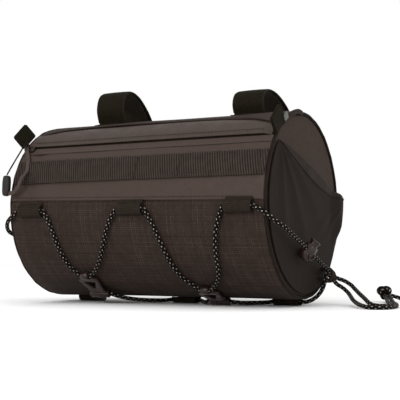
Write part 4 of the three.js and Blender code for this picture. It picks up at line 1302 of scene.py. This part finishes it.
for side, sign in SIDES:
    us, vs = np.linspace(0, 1, 96), np.linspace(0, 1, 40)
    u, v = np.meshgrid(us, vs, indexing="ij")
    made = sheet_mesh(pocket_points(sign, u, v, 0.9), pocket_points(sign, u, v, 0.0), us * 190, vs * 70)
    pocket = piece(f"pocket_cloth_{side}", made, STRETCH, [f"pocket_{side}"])
    hem_v = marks(0, 8.5, 1.0) / 95
    u, v = np.meshgrid(np.linspace(0.008, 0.992, 90), hem_v, indexing="ij")
    roll = edge_drop(np.minimum(v, hem_v[-1] - v) * 95, 0.5)
    hem = sheet_mesh(pocket_points(sign, u, v, 1.6 - roll), pocket_points(sign, u, v, -0.5 + roll),
                     np.linspace(0, 125, 90), hem_v * 95)
    piece(f"pocket_hem_{side}", hem, HEM, [f"pocket_binding_{side}"])

# ---------------------------------------------------------------- bar straps
STRAP_LINES = {
    "left": [
        (4.5, 71.8), (0.8, 84), (4.2, 94.5), (12, 98.6), (24, 97), (38, 88.5), (49, 76), (58, 60),
        (64.5, 45), (66.4, 33.4),
    ],
    "right": [
        (4.5, 71.8), (1.8, 80), (4.6, 87), (12, 90.6), (24, 91), (40, 87), (54, 79), (64, 66),
        (68.8, 50), (66.8, 33.4),
    ],
}
# part, its node, from and to angle, rise, thickness, seed of its waves, stitching's distance from its edge
STRAP_ENDS = (
    ("foot", "patch", 88, 100, 1.2, 0.9, 61, 1.2),
    ("heel", "anchor", 143, 163, 1.5, 1.2, 62, 1.4),
)


def strap_spread(t):
    """The strap is a tenth wider where it leaves the bar."""
    return 1 + 0.1 * smooth_step((t - 0.35) / 0.3) * (1 - smooth_step((t - 0.8) / 0.2))


for side, sign in SIDES:
    body = f"strap_{side}"
    line = curve_through([from_axis(sign * STRAP_X - 0.025 * y, y, w) for y, w in STRAP_LINES[side]], 1.0)
    ribbon(f"bar_strap_{side}", line, 25.5, 1.9, STRAP, body, [body], strap_spread)
    # Beads along both strap edges; their lighter colour is a painted highlight.
    highlight_beads = [tube_mesh(line[2:-2] + np.array([edge, 0, 0]), 0.75, 8) for edge in (-12.6, 12.6)]
    piece(f"strap_edge_painted_highlight_{side}", joined(highlight_beads), SELVEDGE_HIGHLIGHT, body=body)
    lining_line = line[5:-5] + np.cross(np.gradient(line, axis=0), [1, 0, 0])[5:-5] * 1.3
    ribbon(f"strap_lining_{side}", lining_line, 22.5, 0.7, STRAP_LOOP, body)
    wide = (sign * STRAP_X - 13.2, sign * STRAP_X + 13.2)
    boxes = []
    for part, node, low, high, rise, thickness, seed, inset in STRAP_ENDS:
        cloth_strip(
            f"strap_{part}_{side}", wide, low, high,
            lambda x, a, rise=rise, seed=seed: rise + 0.05 * waves(x / 4, a / 3, seed),
            thickness, STRAP, [f"strap_{node}_{side}"], step=1.2,
        )
        left, right = wide[0] + 2, wide[1] - 2
        below, above = low + inset, high - inset
        corners = [(left, below), (right, below), (right, above), (left, above)]
        middle = ((left + right) / 2, (below + above) / 2)
        for a, b in zip(corners, corners[1:] + corners[:1]):
            boxes.append(line_on_bag([a, ((a[0] + b[0]) / 2, (a[1] + b[1]) / 2), b], rise + 0.05))
        for a, b in ((corners[0], corners[2]), (corners[3], corners[1])):
            boxes.append(line_on_bag([a, middle, b], rise + 0.05))
    sewn(f"stitches_strap_{side}", boxes)
